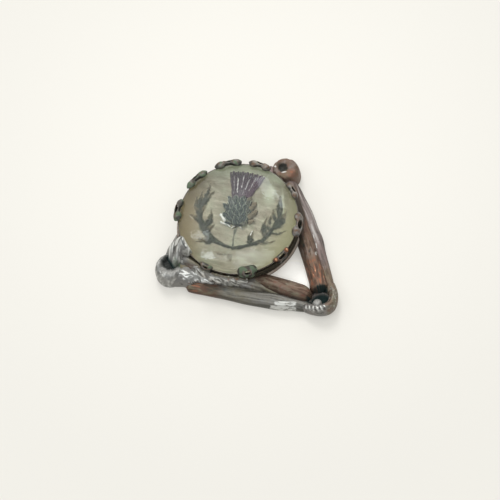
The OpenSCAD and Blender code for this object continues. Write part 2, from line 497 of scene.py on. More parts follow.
def columns(rows, at):
    """Columns of a smooth table, each as a column vector."""
    return np.moveaxis(smooth_table(rows, at), -1, 0)[..., None]


def circle(count):
    """Angles all the way round."""
    return np.linspace(0, 2 * np.pi, count, endpoint=False)


def ramp(value, low, high):
    """0 below low, 1 above high and smooth between them."""
    t = np.clip((np.asarray(value, float) - low) / (high - low), 0, 1)
    return t * t * (3 - 2 * t)


def hump(value, middle, half):
    """1 in the middle and 0 from half a width away."""
    return ramp(half - np.abs(np.asarray(value, float) - middle), 0, half)


def blob(x, y, half_x, half_y, turn=0.0):
    """1 inside a soft oval round the origin and 0 outside it."""
    c, s = math.cos(math.radians(turn)), math.sin(math.radians(turn))
    return ramp(1 - np.hypot((c * x + s * y) / half_x, (c * y - s * x) / half_y), 0, 0.6)


def rough(x, y, z=0.0, seed=0.0):
    """Smooth noise from about -1 to 1 at each point."""
    x, y, z = np.broadcast_arrays(np.asarray(x, float), y, z)
    flat = zip(x.ravel(), y.ravel(), z.ravel())
    values = [noise.noise((a + seed, b - 1.7 * seed, c + 0.37 * seed)) for a, b, c in flat]
    return np.array(values).reshape(x.shape)


# Points that are closer than this become one
WELD = 0.002


class Heap:
    """Points, faces and masks of one mesh, gathered from several shapes."""

    def __init__(self):
        self.points = []
        self.faces = []
        self.masks = {}

    def add(self, points, faces, **masks):
        """Adds a shape. A mask is a number for each point, or one number for all."""
        points = np.asarray(points, float).reshape(-1, 3)
        start = len(self.points)
        self.points.extend(points.tolist())
        self.faces.extend([tuple(start + i for i in face) for face in faces])
        for name in {**self.masks, **masks}:
            row = self.masks.setdefault(name, [0.0] * start)
            value = np.broadcast_to(np.asarray(masks.get(name, 0.0), float).ravel(), (len(points),))
            row.extend(value.tolist())
        return self

    def cover(self, rings, masks):
        """Adds a closed skin over rings. A mask is a table over them, or what spreads to one."""
        points, faces = skin(rings)
        whole = {}
        for name, value in masks.items():
            row = np.broadcast_to(value, rings.shape[:2])
            whole[name] = np.append(row, (row[0].mean(), row[-1].mean()))
        return self.add(points, faces, **whole)

    def piece(self, name, material, slot, stands_for=(), sharp=None):
        """Makes the mesh a piece that rides on the brooch."""
        mesh = bpy.data.meshes.new(name)
        mesh.from_pydata((np.array(self.points) * MM).tolist(), [], self.faces)
        for mask, values in self.masks.items():
            mesh.attributes.new(mask, "FLOAT", "POINT").data.foreach_set("value", values)
        work = bmesh.new()
        work.from_mesh(mesh)
        bmesh.ops.remove_doubles(work, verts=work.verts, dist=WELD * MM)
        bmesh.ops.recalc_face_normals(work, faces=work.faces)
        work.to_mesh(mesh)
        work.free()
        mesh.shade_smooth()
        if sharp is not None:
            mesh.set_sharp_from_angle(angle=math.radians(sharp))
        mesh.materials.append(material)
        made = bpy.data.objects.new(name, mesh)
        bpy.context.scene.collection.objects.link(made)
        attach(made, "root")
        if stands_for:
            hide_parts(*stands_for)
        return made


def skin(rings, capped=True):
    """Faces over closed rings of equal length, and a point in the middle of each end."""
    rings = np.asarray(rings, float)
    n, m = rings.shape[:2]
    points = rings.reshape(-1, 3)
    faces = []
    for i in range(n - 1):
        for j in range(m):
            k = (j + 1) % m
            faces.append((i * m + j, i * m + k, (i + 1) * m + k, (i + 1) * m + j))
    if capped:
        points = np.vstack([points, rings[0].mean(0), rings[-1].mean(0)])
        for j in range(m):
            k = (j + 1) % m
            faces.append((n * m, k, j))
            faces.append((n * m + 1, (n - 1) * m + j, (n - 1) * m + k))
    return points, faces


# Sides of the frame: the corner where a side starts at its butt, and the corner where its tip goes in
SIDES = {"lower": (LEFT, RIGHT), "right": (RIGHT, TOP), "left": (TOP, LEFT)}


def side_frame(side):
    """Start, direction along the side, direction outwards and length."""
    butt, tip = SIDES[side]
    along = SOCKETS[tip] - SOCKETS[butt]
    length = np.linalg.norm(along)
    along = along / length
    return SOCKETS[butt], along, np.array([along[1], -along[0]]), length


def from_cup(points):
    """Distance of each point from the cup's axis."""
    return np.hypot(points[..., 0] - CUP[0], points[..., 1] - CUP[1])


def round_cup(reach, angle, height):
    """Points from distances and angles about the cup's axis, and heights."""
    return np.stack([CUP[0] + reach * np.cos(angle), CUP[1] + reach * np.sin(angle), height], -1)


def under_cup(points):
    """Lowers what lies inside the cup's wall to its seat, so that the cup stands on it."""
    inside = from_cup(points) < WALL_R - WALL_THICK
    points[..., 2] = np.where(inside, np.minimum(points[..., 2], SEAT_Z), points[..., 2])
    return points


def bark(x, arc, seed):
    """Slanting raised strokes, from distances along and round a horn. 0 in the gaps and 1 on the strokes."""
    across, along = 0.87 * arc - 0.5 * x, 0.87 * x + 0.5 * arc
    wander = rough(along * 0.6, across * 0.6, seed=seed)
    lines = 1 - 2.6 * np.abs(rough(along * 0.8, (across + 0.5 * wander) * 2.3, seed=seed + 3))
    breaks = 0.8 + 1.3 * rough(along * 1.5, across * 1.4, seed=seed + 7)
    return np.clip(lines * breaks, 0, 1)


def streaks(x, arc, seed):
    """Fine lengthwise lines, 0 in the gaps and 1 on the lines."""
    wander = 0.35 * rough(x * 0.25, arc * 0.5, seed=seed)
    return np.clip(0.5 + 1.3 * rough(x * 0.16, (arc + wander) * 2.4, seed=seed + 5), 0, 1)


def bar(centres, half_w, half_h, middle, lift, turn):
    """Rings of a bar with oval sections along a line in plan. Lift raises its skin, and 90 degrees is up."""
    ahead = np.gradient(centres, axis=0)
    ahead /= np.linalg.norm(ahead, axis=1)[:, None]
    outwards = np.stack([ahead[:, 1], -ahead[:, 0]], -1)
    c, s = np.cos(turn), np.sin(turn)
    lean = np.hypot(c / half_w, s / half_h)
    reach = -half_w * c - lift * c / half_w / lean
    z = np.maximum(middle + half_h * s + lift * s / half_h / lean, 0)
    xy = centres[:, None] + reach[..., None] * outwards[:, None]
    return np.concatenate([xy, z[..., None]], -1)


# Tines of the frame. Each has its side, its share of the points, a row for each section (place along the
# side, offset outwards, half width, half height, height of its middle) and a row for each change of its
# looks (place along the side, share of bark, silver, brown, olive, copper)
TINES = {
    "antler_lower": ("lower", 1.0, (
        (0.02, 2.6, 0.9, 1.4, 0.9), (0.06, 2.1, 1.8, 2.0, 1.0), (0.1, 1.1, 2.75, 2.45, 1.2),
        (0.14, 0.4, 3.2, 2.65, 1.3), (0.18, -0.1, 2.95, 2.5, 1.3),
        (0.27, -0.3, 2.5, 2.2, 1.3), (0.42, -0.7, 2.0, 2.1, 1.2), (0.52, -0.75, 1.9, 1.9, 1.2),
        (0.63, -0.55, 1.2, 1.4, 1.2), (0.72, 0.0, 0.75, 1.0, 1.3), (0.8, 0.2, 0.3, 0.6, 1.4),
        (0.83, 0.25, 0.05, 0.3, 1.4)),
        ((0.0, 0.15, 0.3, 0, 0.1, 0), (0.075, 0.3, 0.4, 0, 0, 0), (0.115, 1, 0.75, 0, 0, 0),
         (0.15, 1, 0.95, 0, 0, 0), (0.34, 1, 1, 0, 0, 0), (0.42, 0.6, 0.5, 0.2, 0, 0.1),
         (0.5, 0.3, 0.15, 0.3, 0.2, 0.1), (0.6, 0.1, 0.1, 0.3, 0.5, 0), (0.83, 0, 0.1, 0.2, 0.6, 0))),
    "lens_lower": ("lower", 0.6, (
        (0.48, -1.9, 0.7, 0.8, 1.4), (0.55, -1.8, 1.3, 1.5, 1.5), (0.61, -1.75, 1.45, 1.85, 1.65),
        (0.67, -1.5, 1.6, 2.15, 1.7), (0.75, -1.3, 1.75, 2.25, 1.75), (0.82, -1.22, 1.75, 2.2, 1.75),
        (0.875, -1.1, 1.65, 2.05, 1.75), (0.895, -1.0, 1.4, 1.9, 1.7), (0.911, -0.95, 1.05, 1.5, 1.7),
        (0.921, -0.9, 0.65, 0.9, 1.6), (0.926, -0.88, 0.2, 0.3, 1.5)),
        ((0.48, 0, 0.1, 0.6, 0, 0.15), (0.62, 0, 0.1, 0.9, 0, 0.15), (0.9, 0, 0.05, 1, 0, 0.15),
         (0.926, 0, 0, 1, 0, 0))),
    "band_lower": ("lower", 0.7, (
        (0.15, 3.1, 0.85, 1.05, 0.85), (0.17, 3.05, 1.0, 1.2, 0.85), (0.27, 2.75, 1.2, 1.4, 0.9),
        (0.42, 2.2, 1.5, 1.5, 0.9), (0.52, 2.05, 1.6, 1.55, 0.9), (0.65, 1.6, 1.75, 1.6, 0.9),
        (0.75, 1.25, 1.8, 1.65, 0.95), (0.84, 0.9, 1.5, 1.5, 0.9), (0.9, 0.9, 1.2, 1.3, 0.9),
        (0.93, 1.0, 0.9, 1.1, 0.9)),
        ((0.15, 0, 0, 0.9, 0, 0.3), (0.2, 0, 0, 1, 0, 0.6), (0.3, 0, 0, 1, 0, 0.35),
         (0.37, 0, 0.1, 0.5, 0.3, 0), (0.48, 0, 0.1, 0.1, 0.5, 0), (0.58, 0, 0.12, 0, 0.4, 0),
         (0.95, 0, 0.12, 0, 0.3, 0))),
    "antler_right": ("right", 0.9, (
        (0.085, 0.55, 1.5, 1.9, 1.3), (0.1, 0.55, 1.8, 2.25, 1.3), (0.17, 0.6, 1.8, 2.2, 1.3),
        (0.3, 0.6, 1.75, 2.1, 1.3), (0.45, 0.5, 1.75, 2.0, 1.35), (0.6, 0.2, 1.85, 2.0, 1.4),
        (0.75, 0.0, 1.9, 2.1, 1.45), (0.85, 0.1, 1.9, 2.1, 1.5), (0.93, 0.2, 1.6, 1.7, 1.5),
        (0.985, 0.2, 0.8, 0.9, 1.5)),
        ((0.085, 0.2, 0, 0.9, 0.1, 0.2), (0.12, 0.2, 0, 1, 0, 0.6), (0.22, 0.2, 0, 1, 0, 0.95),
         (0.29, 0.2, 0.05, 0.9, 0, 0.6),
         (0.35, 0.15, 0.15, 0.7, 0, 0.15), (0.5, 0.1, 0.05, 1.0, 0, 0.1), (0.6, 0, 0.1, 0.8, 0, 0),
         (0.75, 0, 0.1, 0.6, 0, 0), (0.985, 0, 0.15, 0.2, 0, 0))),
    "band_right": ("right", 0.7, (
        (0.05, 2.4, 0.9, 1.3, 1.2), (0.126, 2.45, 1.05, 1.4, 1.1), (0.243, 2.5, 1.15, 1.45, 0.95),
        (0.374, 2.4, 1.35, 1.5, 0.9), (0.461, 2.4, 1.55, 1.5, 0.9), (0.533, 2.15, 1.55, 1.5, 0.9),
        (0.67, 1.9, 1.6, 1.45, 0.9), (0.789, 1.5, 1.35, 1.3, 0.9), (0.884, 1.25, 1.1, 1.2, 0.9),
        (0.95, 0.9, 0.7, 1.0, 0.9)),
        ((0.05, 0, 0, 0.6, 0.4, 0), (0.2, 0, 0, 0.6, 0.4, 0), (0.34, 0, 0.15, 0.1, 0.1, 0),
         (0.95, 0, 0.2, 0.1, 0, 0))),
    "antler_left": ("left", 0.9, (
        (0.02, 0.5, 2.0, 2.2, 1.3), (0.1, 0.8, 2.4, 2.4, 1.3), (0.3, 0.8, 2.35, 2.35, 1.35),
        (0.6, 0.9, 2.35, 2.3, 1.4), (0.75, 1.3, 2.35, 2.3, 1.4), (0.85, 1.0, 2.2, 2.2, 1.5),
        (0.91, 0.6, 1.9, 1.9, 1.5), (0.94, 0.4, 1.2, 1.2, 1.5)),
        ((0.0, 0.3, 0, 0.2, 0, 0), (0.6, 0.6, 0.5, 0.1, 0, 0), (0.75, 0.3, 0.5, 0, 0, 0),
         (0.94, 0.2, 0.5, 0, 0, 0))),
    "band_left": ("left", 0.7, (
        (0.15, 2.8, 0.9, 1.1, 0.85), (0.22, 2.8, 1.2, 1.35, 0.85), (0.35, 2.7, 1.5, 1.5, 0.85),
        (0.5, 2.6, 1.6, 1.5, 0.87), (0.68, 2.5, 1.7, 1.5, 0.88), (0.79, 2.55, 1.7, 1.4, 0.88),
        (0.88, 1.9, 1.3, 1.2, 0.9), (0.95, 1.4, 0.9, 1.0, 0.9)),
        ((0.15, 0, 0.2, 0.4, 0, 0), (0.95, 0, 0.5, 0, 0, 0))),
}
MASKS = ("silver", "brown", "olive", "copper")

# Marks on a side's metal: mask, place along the side, offset outwards, half length, half width, slant in
# degrees and strength. Dull takes the silver and the bark away. Pit marks near the corners' pits, in the
# seams and along the band under the lower horn are painted shade, and many pale marks are painted highlights,
# such as the bright line along the right side's edge
MARKS = {
    "lower": (
        ("pit", 0.925, 0.0, 1.2, 0.8, 0, 0.95), ("pit", 0.36, 2.6, 5.0, 1.3, -3, 0.4),
        ("pale", 0.55, 0.75, 0.6, 0.3, 40, 0.4), ("pale", 0.57, 0.3, 0.9, 0.18, 55, 0.4),
        ("copper", 0.21, 3.0, 1.9, 0.28, 3, 0.8), ("copper", 0.17, 3.1, 0.5, 0.4, 0, 0.6),
        ("copper", 0.385, -0.05, 0.6, 0.35, 0, 0.55), ("copper", 0.548, 0.05, 0.6, 0.5, 0, 0.6),
        ("pale", 0.468, 0.1, 0.25, 0.25, 0, 0.8), ("olive", 0.12, -0.9, 4.2, 1.5, -4, 1.3),
        ("olive", 0.28, -1.6, 3.0, 1.1, -4, 1.2), ("green", 0.3, -1.6, 4.0, 0.6, 0, 0.35),
        ("pit", 0.43, 1.0, 3.6, 0.2, 0, 0.3), ("pale", 0.6, -2.5, 0.7, 0.2, 30, 0.6),
        ("pit", 0.84, 0.35, 2.0, 0.3, 0, 0.4), ("pale", 0.095, -2.0, 1.3, 0.5, 60, 0.6),
        ("pit", 0.03, 0.1, 2.0, 1.7, 0, 0.7), ("olive", 0.085, -0.3, 2.4, 1.6, -12, 0.9),
        ("dull", 0.09, 3.5, 3.8, 1.7, -6, 1.0), ("dull", 0.135, 0.05, 3.4, 1.75, 0, 1.0),
    ),
    "right": (
        ("pale", 0.2, -0.75, 2.9, 0.3, 0, 0.3), ("pale", 0.44, 2.25, 2.9, 0.14, 1, 0.9),
        ("pale", 0.345, 1.7, 0.8, 0.3, 25, 0.6), ("pit", 0.37, 0.7, 0.8, 0.45, 30, 0.45),
        ("pit", 0.42, -0.2, 0.7, 0.4, 10, 0.45), ("pit", 0.47, 0.2, 0.9, 0.35, -10, 0.45),
        ("green", 0.45, -0.3, 1.0, 0.5, 0, 0.5), ("copper", 0.4, 0.1, 0.5, 0.2, 0, 0.6),
        ("pit", 0.085, 0.5, 1.3, 2.3, 0, 0.85),
    ),
    "left": (
        ("pale", 0.83, 0.4, 2.2, 0.3, 20, 0.5), ("silver", 0.8, 2.6, 2.2, 0.5, -5, 0.6),
    ),
}
# Painted reflection of a window on the lower side's band, as white bars: place along the side, offset
# outwards, half length, half width, slant in degrees
REFLECTION_BARS = ((0.785, 1.95, 2.5, 0.55, -14), (0.775, 2.8, 3.0, 0.5, -11))
BAR_STEPS, BAR_ROUND = 380, 96
# Strength of the streaks on tines where it isn't full
STREAKED = {"lens_lower": 0.5}
# Share of warm tarnish on each side, and darkness and width of the painted shade in the crevice at the foot
# of the cup
MAUVE = {"lower": 0.0, "right": 0.75, "left": 0.2}
CREVICE_SHADE = {"lower": 0.3, "right": 0.95, "left": 0.5}
CREVICE_SHADE_W = {"lower": 0.9, "right": 1.2, "left": 0.9}
# Part of a bark stroke that lies below the plain surface
STROKE_SUNK = 0.4
# Places along Y between which the top corner's warm tarnish sets in
TOP_MAUVE = (9.5, 12)


def around(count):
    """Angles round a section, twice as close on top as they are at the sides."""
    turn = circle(int(count))[None, :]
    return turn + 0.5 * np.cos(turn)


def marked(side, x, out, height, masks):
    """Adds a side's marks to masks at distances along the side and outwards, and heights."""
    length = side_frame(side)[3]
    grit = rough(x * 0.9, out * 3.2, seed=17)
    scratch = rough(x * 0.8, out * 4.6, height * 4.6, seed=19)
    scratched = 0.42 + 0.58 * ramp(scratch, -0.25, 0.08)
    for name, place, mark_out, half_l, half_w, slant, strength in MARKS[side]:
        spot = blob(x - place * length, out - mark_out, half_l, half_w, slant)
        if name == "pit":
            spot = strength * spot * (0.85 + 0.7 * grit)
        else:
            spot = strength * ramp(1.4 * spot + 1.1 * grit - 0.3, 0, 0.6) * ramp(spot, 0, 0.2)
        if name == "pale":
            spot = spot * scratched
        masks[name] = np.maximum(masks.get(name, 0.0), spot * (height > 0))
    # Painted reflection: white bars across the lower side's band
    for place, bar_out, half_l, half_w, slant in REFLECTION_BARS if side == "lower" else ():
        ahead = x - place * length
        aside = out - bar_out - math.tan(math.radians(slant)) * ahead
        spot = ramp(half_l - np.abs(ahead), 0, 0.8) * ramp(half_w - np.abs(aside), 0, 0.3)
        masks["pale"] = np.maximum(masks["pale"], spot * scratched * (height > 0))
    return masks


def tine(name, sizes):
    """One horn or band of the frame as a heap."""
    side, share, rows, looks = TINES[name]
    start, along, outwards, length = side_frame(side)
    u = np.linspace(rows[0][0], rows[-1][0], int(BAR_STEPS * share))
    turn = around(BAR_ROUND * (0.5 + 0.5 * share))
    out, half_w, half_h, middle = columns(rows, u)
    blunt = np.sqrt(np.clip((u - u[0]) / 0.02, 0.03, 1))[:, None]
    x = (u * length)[:, None] + 0 * turn
    arc = (turn - np.pi / 2) * (half_w + half_h) / 2
    seed = 11.0 * (1 + list(TINES).index(name))
    barky, *values = columns(looks, u)
    barky = barky * ramp(np.sin(turn), -0.2, 0.35)
    strokes, fine = bark(x, arc, seed), streaks(x, arc, seed)
    fine = 0.5 + (fine - 0.5) * STREAKED.get(name, 1.0)
    top = ramp(np.sin(turn), -0.4, 0.2)
    bumps = barky * (strokes - STROKE_SUNK) * sizes.bark_relief
    lift = top * (bumps + (1 - barky) * (fine - 0.5) * sizes.streak_relief)
    centres = start + (u * length)[:, None] * along + out * outwards
    points = under_cup(bar(centres, half_w * blunt, half_h * blunt, middle, lift, turn))
    # Painted shade: a tine's flanks lose relief, so the dark tarnish of the hollows covers them
    shaded_flanks = ramp(np.abs(np.cos(turn)), 0.72, 1.0)
    relief = barky * (0.34 + strokes) + (1 - barky) * (0.05 + 0.85 * fine) - 0.7 * shaded_flanks * (1 - 0.6 * barky)
    flat = points[..., :2] - start
    masks = {"relief": relief, **dict(zip(MASKS, values)), "pit": 0.0, "green": 0.0, "pale": 0.0}
    masks = marked(side, flat @ along, flat @ outwards, points[..., 2], masks)
    fleck = rough(x * 0.6, arc * 2.6, seed=seed + 21)
    masks["copper"] = masks["copper"] * ramp(fleck, -0.05, 0.4)
    masks["relief"] = relief - 0.9 * ramp(-fleck, 0.08, 0.35) * masks["brown"]
    # Painted shade in the crevice along the cup's foot: the relief drops, and brown and pit darken it
    crevice_shade = ramp(WALL_R + CREVICE_SHADE_W[side] - from_cup(points), 0, 0.7)
    masks["relief"] = masks["relief"] - 1.6 * CREVICE_SHADE[side] * crevice_shade
    masks["brown"] = np.maximum(masks["brown"], CREVICE_SHADE[side] * crevice_shade)
    masks["pit"] = np.maximum(masks["pit"], (CREVICE_SHADE[side] - 0.5) * crevice_shade)
    masks["mauve"] = np.maximum(MAUVE[side], ramp(points[..., 1], *TOP_MAUVE))
    dull = masks.pop("dull", 0.0)
    masks["silver"] = masks["silver"] * (1 - barky * (1 - ramp(np.sin(turn), 0.25, 0.75))) * (1 - 0.9 * dull)
    masks["relief"] = masks["relief"] + dull * (0.5 - masks["relief"])
    return Heap().cover(points, masks)


# Butts: corner, middle, radius, height, middle of the pit, radius of its mouth, and its looks: share of bark,
# silver, brown, olive and copper. Places are from the corner's socket
BUTTS = {
    "butt_top": (TOP, (0.8, -0.15), 2.85, 4.1, (0.2, 0.05), 0.86, (0.2, 0.05, 0.6, 0.15, 0)),
    "butt_left": (LEFT, (0.85, -1.1), 2.9, 3.9, (0.8, -0.1), 1.35, (0.25, 0.5, 0, 0.05, 0)),
    "butt_right": (RIGHT, (-0.6, 0.65), 2.4, 1.35, (-0.3, 0.1), 1.8, (0.2, 0, 0.3, 0.2, 0)),
}
# Section of a butt: place, share of the way from its outside to its pit, share of its height
BUTT_SECTION = (
    (0, 0, 0), (0.09, -0.02, 0.12), (0.18, 0, 0.3), (0.27, 0.02, 0.55), (0.36, 0.1, 0.78), (0.46, 0.3, 0.95),
    (0.55, 0.5, 1), (0.64, 0.72, 0.98), (0.73, 0.9, 0.91), (0.82, 1.0, 0.82), (0.91, 1.1, 0.7),
    (1.0, 1.25, 0.58))
BUTT_TURNS, BUTT_RINGS = 180, 64
# Place in the section where the pit starts, and its level there
RIM_AT, RIM_LEVEL = 0.6, 0.99
# For each corner: share of warm tarnish, darkness of the pit, which is painted shade, its depth, and how
# uneven its rim is
BUTT_MAUVE = (0.4, 0.0, 0.4)
PIT_DARK = (0.62, 0.54, 0.8)
PIT_DEEP = (0.45, 1.0, 0.1)
PIT_RAGGED = (0.15, 0.32, 0.2)
BUTT_GRAIN = 0.3
# Marks on a butt: mask, place from the corner's socket, half sizes, slant in degrees, strength. Pale marks
# are painted highlights round the pits, and pit marks are painted shade
BUTT_MARKS = {
    "butt_top": (
        ("rust", (2.2, -0.7), (1.5, 1.8), 0, 0.7), ("copper", (2.2, -0.6), (0.6, 0.5), 0, 0.6),
        ("pale", (0.75, -0.95), (0.8, 0.25), 25, 0.8), ("pale", (-1.3, -0.2), (0.3, 0.3), 0, 0.8),
        ("pit", (-0.6, 0.5), (1.0, 0.8), 30, 0.4)),
    "butt_left": (
        ("pit", (0.8, -0.1), (2.5, 2.1), 0, 0.55), ("green", (1.6, 0.4), (1.8, 1.4), 0, 0.6),
        ("green", (2.65, 0.5), (2.1, 1.0), 111, 0.8), ("pale", (1.3, -1.3), (0.3, 0.7), 20, 0.8),
        ("pale", (0.3, -3.2), (0.55, 0.25), -35, 0.8), ("pale", (-0.4, -2.6), (0.5, 0.2), -50, 0.7),
        ("pale", (1.3, -2.5), (0.45, 0.25), -20, 0.5)),
    "butt_right": (
        ("pit", (0, 0), (3.4, 3.4), 0, 1.0),),
}


def butt(name, sizes):
    """The round end of a horn, with a blind pit in it, as a heap."""
    corner, shift, radius, height, pit_at, mouth, looks = BUTTS[name]
    turn = circle(BUTT_TURNS)[None, :]
    s = np.linspace(0, 1, BUTT_RINGS)[:, None]
    share, level = columns(BUTT_SECTION, s[:, 0])
    level = np.where(s > RIM_AT, RIM_LEVEL - (RIM_LEVEL - level) * PIT_DEEP[corner], level)
    barky, *values = looks
    seed = 41.0 + corner
    c, d = np.cos(turn), np.sin(turn)
    strokes = bark(s * 5 + 0 * turn, turn * radius, seed)
    fine = 0.5 + 0.5 * rough(s * 7 + 0 * turn, c * 2.6, d * 2.6, seed=seed)
    lift = hump(s, 0.42, 0.42) * (
        barky * (strokes - STROKE_SUNK) * sizes.bark_relief + (fine - 0.5) * BUTT_GRAIN)
    ragged = 1 + PIT_RAGGED[corner] * rough(c * 1.6, d * 1.6, seed=seed + 2)
    heave = 0.4 * PIT_RAGGED[corner] * rough(c * 1.3, d * 1.3, seed=seed + 4)
    e = np.stack([c, d], -1)
    outside = SOCKETS[corner] + shift + (radius + lift)[..., None] * e
    inside = SOCKETS[corner] + pit_at + mouth * ragged[..., None] * e
    xy = outside + share[..., None] * (inside - outside)
    z = np.maximum(level * height * (1 + heave) + lift * ramp(s, 0.3, 0.5), 0)
    points = under_cup(np.concatenate([xy, z[..., None]], -1))
    masks = {
        "relief": barky * strokes + (1 - barky) * (0.35 + 0.5 * fine), **dict(zip(MASKS, values)),
        "pit": PIT_DARK[corner] * ramp(s + 0.2 * (fine - 0.5), 0.62, 0.88), "mauve": BUTT_MAUVE[corner],
    }
    x, y = np.moveaxis(points[..., :2] - SOCKETS[corner], -1, 0)
    for mask, at, half, slant, strength in BUTT_MARKS[name]:
        spot = strength * blob(x - at[0], y - at[1], *half, slant) * (points[..., 2] > 0)
        masks[mask] = np.maximum(masks.get(mask, 0.0), spot)
    return Heap().cover(points, masks)


# Strap round the right corner, from the right side's band to its fluted tail: place along it, place from
# the corner's socket, half width, height of its top
STRAP = ((0.0, 0.45, 4.6, 0.85, 2.3), (0.14, 1.5, 2.9, 0.9, 3.0), (0.3, 1.95, 0.9, 0.95, 3.6),
         (0.42, 1.75, -0.1, 0.95, 3.9), (0.54, 1.0, -0.9, 0.95, 3.9), (0.66, -0.2, -1.35, 0.95, 3.6),
         (0.8, -1.6, -1.4, 0.95, 3.1), (0.92, -3.0, -1.3, 0.75, 2.4), (1.0, -4.0, -1.1, 0.3, 1.6))
STRAP_STEPS, STRAP_ROUND = 260, 72
STRAP_R = 1.4
STRAP_STREAKS = 0.08
# Flutes: places along the strap where they start and end, distance apart, middle and half of their spread
# round the section
FLUTES_FROM, FLUTES_TO = 0.5, 0.95
FLUTE_PITCH = 0.78
FLUTES_ROUND = (math.radians(108), math.radians(44))


def strap(sizes):
    """The strap that turns round the right corner, with flutes on its tail, as a heap."""
    s = np.linspace(0, 1, STRAP_STEPS)
    x, y, half_w, top = columns(STRAP, s)
    centres = SOCKETS[RIGHT] + np.concatenate([x, y], -1)
    run = np.concatenate([[0], np.cumsum(np.linalg.norm(np.diff(centres, axis=0), axis=1))])[:, None]
    turn = circle(STRAP_ROUND)[None, :]
    arc = turn * STRAP_R
    fine = streaks(run + 0 * turn, arc + 0 * run, 77.0)
    tail = ramp(s, FLUTES_FROM, FLUTES_FROM + 0.06) * (1 - ramp(s, FLUTES_TO - 0.08, FLUTES_TO))
    fluted = tail[:, None] * hump(turn, *FLUTES_ROUND)
    wave = 0.5 + 0.5 * np.cos(2 * math.pi * (run + 0.35 * arc) / FLUTE_PITCH)
    flute = fluted * wave
    lift = (fine - 0.5) * STRAP_STREAKS + (wave - 0.6) * sizes.flute_relief * fluted
    half_h, middle = top / 2 + 0.1, top / 2 - 0.1
    points = bar(centres[::-1], half_w[::-1], half_h[::-1], middle[::-1], lift[::-1], turn)[::-1]
    mottle = ramp(rough(run * 1.3, arc * 1.3, seed=31), -0.15, 0.25)
    specks = ramp(rough(run * 2.6, arc * 2.6, seed=33), 0.15, 0.45)
    turned = 1 - ramp(s, FLUTES_FROM, FLUTES_FROM + 0.1)[:, None]
    grit = rough(run * 2.0, arc * 2.0, seed=35)
    return Heap().cover(points, {
        "relief": np.maximum(0.35 + 0.4 * fine + 0.9 * grit, 1.1 * flute) - 0.45 * fluted * (1 - wave),
        "silver": 1.5 * flute,
        "olive": (0.25 + 0.3 * mottle) * turned,
        "brown": (0.6 - 0.35 * mottle) * turned,
        "mauve": 0.25,
        "green": 0.35 * (tail[:, None] - fluted),
        # Painted highlight on the flutes' ridges; the pale specks are the metal's own
        "pale": np.maximum(0.9 * flute * flute, 0.45 * specks),
    })


# Ridge of solder along the foot of the cup's wall above the lower horn: place along it, angle round the cup
# in degrees, distance from the cup's axis, half width, height of its top
COLLAR = ((0.0, 226, 13.2, 1.1, 3.4), (0.12, 230, 13.25, 1.6, 4.3), (0.34, 237, 12.85, 1.5, 4.9),
          (0.52, 246, 12.45, 1.15, 5.15), (0.64, 254, 12.35, 1.0, 5.15), (0.82, 270, 12.3, 0.9, 5.1),
          (0.94, 284, 12.25, 0.8, 4.8), (1.0, 296, 12.2, 0.5, 3.6))
COLLAR_STEPS, COLLAR_ROUND = 260, 80
COLLAR_R = 1.6
# Angles round the cup between which its olive and brown dirt sets in
COLLAR_DIRT = (228, 243)


def collar(sizes):
    """The ridge of solder that fills the corner between the cup's wall and the lower horn, as a heap."""
    s = np.linspace(0, 1, COLLAR_STEPS)
    angle, reach, half_w, top = columns(COLLAR, s)
    turn = around(COLLAR_ROUND)
    centres = round_cup(reach, np.radians(angle), top)[:, 0, :2]
    run = np.radians(angle) * reach
    lumps = rough(run * 0.9, turn * 0.9, seed=91)
    grit = rough(run * 2.5, turn * 2.5, seed=93)
    strokes = bark(run + 0 * turn, (turn - np.pi / 2) * COLLAR_R, 97.0)
    outside = ramp(-np.cos(turn), 0.1, 0.7) * ramp(s, 0.4, 0.6)[:, None]
    lift = 0.25 * lumps + 0.1 * grit + outside * (strokes - STROKE_SUNK) * sizes.bark_relief
    points = under_cup(bar(centres, half_w, top / 2 + 0.2, top / 2 - 0.2, lift, turn))
    dirty = (1 - outside) * ramp(angle, *COLLAR_DIRT)
    bare = 0.6 * hump(angle, 286, 5) * hump(turn, 1.9, 1.0) + 0.5 * hump(angle, 279, 3) * hump(turn, 2.2, 1.0)
    return Heap().cover(points, {
        "relief": outside * (0.2 + strokes) + (1 - outside) * (0.35 + 0.9 * grit),
        "silver": 0.9 * outside,
        "olive": dirty * (0.6 + 0.8 * lumps),
        "brown": dirty * (0.3 - 0.8 * lumps),
        "pale": 0.55 * ramp(grit * lumps, 0.02, 0.12),
        "green": 0.3 * ramp(lumps, 0, 0.3),
        "copper": bare,
    })


# Pale ball in the right corner's pit, a painted highlight where the pit's lit inner wall shows: its middle,
# with the place in plan from the right corner's socket, and its radius
BALL_AT = (-0.7, -0.5, 2.75)
BALL_R = 0.95


def ball():
    """The small pale ball in the right corner's pit, a painted highlight, as a heap."""
    level = np.radians(np.linspace(-90, 90, 24)[1:-1, None])
    turn = circle(40)[None, :]
    r = BALL_R * (1 + 0.12 * rough(np.cos(turn) + level, np.sin(turn) + 0 * level, level + 0 * turn, seed=8))
    rings = np.stack([
        SOCKETS[RIGHT][0] + BALL_AT[0] + r * np.cos(level) * np.cos(turn),
        SOCKETS[RIGHT][1] + BALL_AT[1] + r * np.cos(level) * np.sin(turn),
        BALL_AT[2] + r * np.sin(level)], -1)
    return Heap().cover(rings, {"relief": 0.6, "silver": 0.2, "pale": 0.42})


def lathe(profile, turns):
    """Points and faces of a closed profile of (radius, height), turned about the cup's axis."""
    turn = circle(turns)[None, :]
    r, z = np.array(profile, float).T[..., None]
    return skin(round_cup(r, turn, z + 0 * turn))


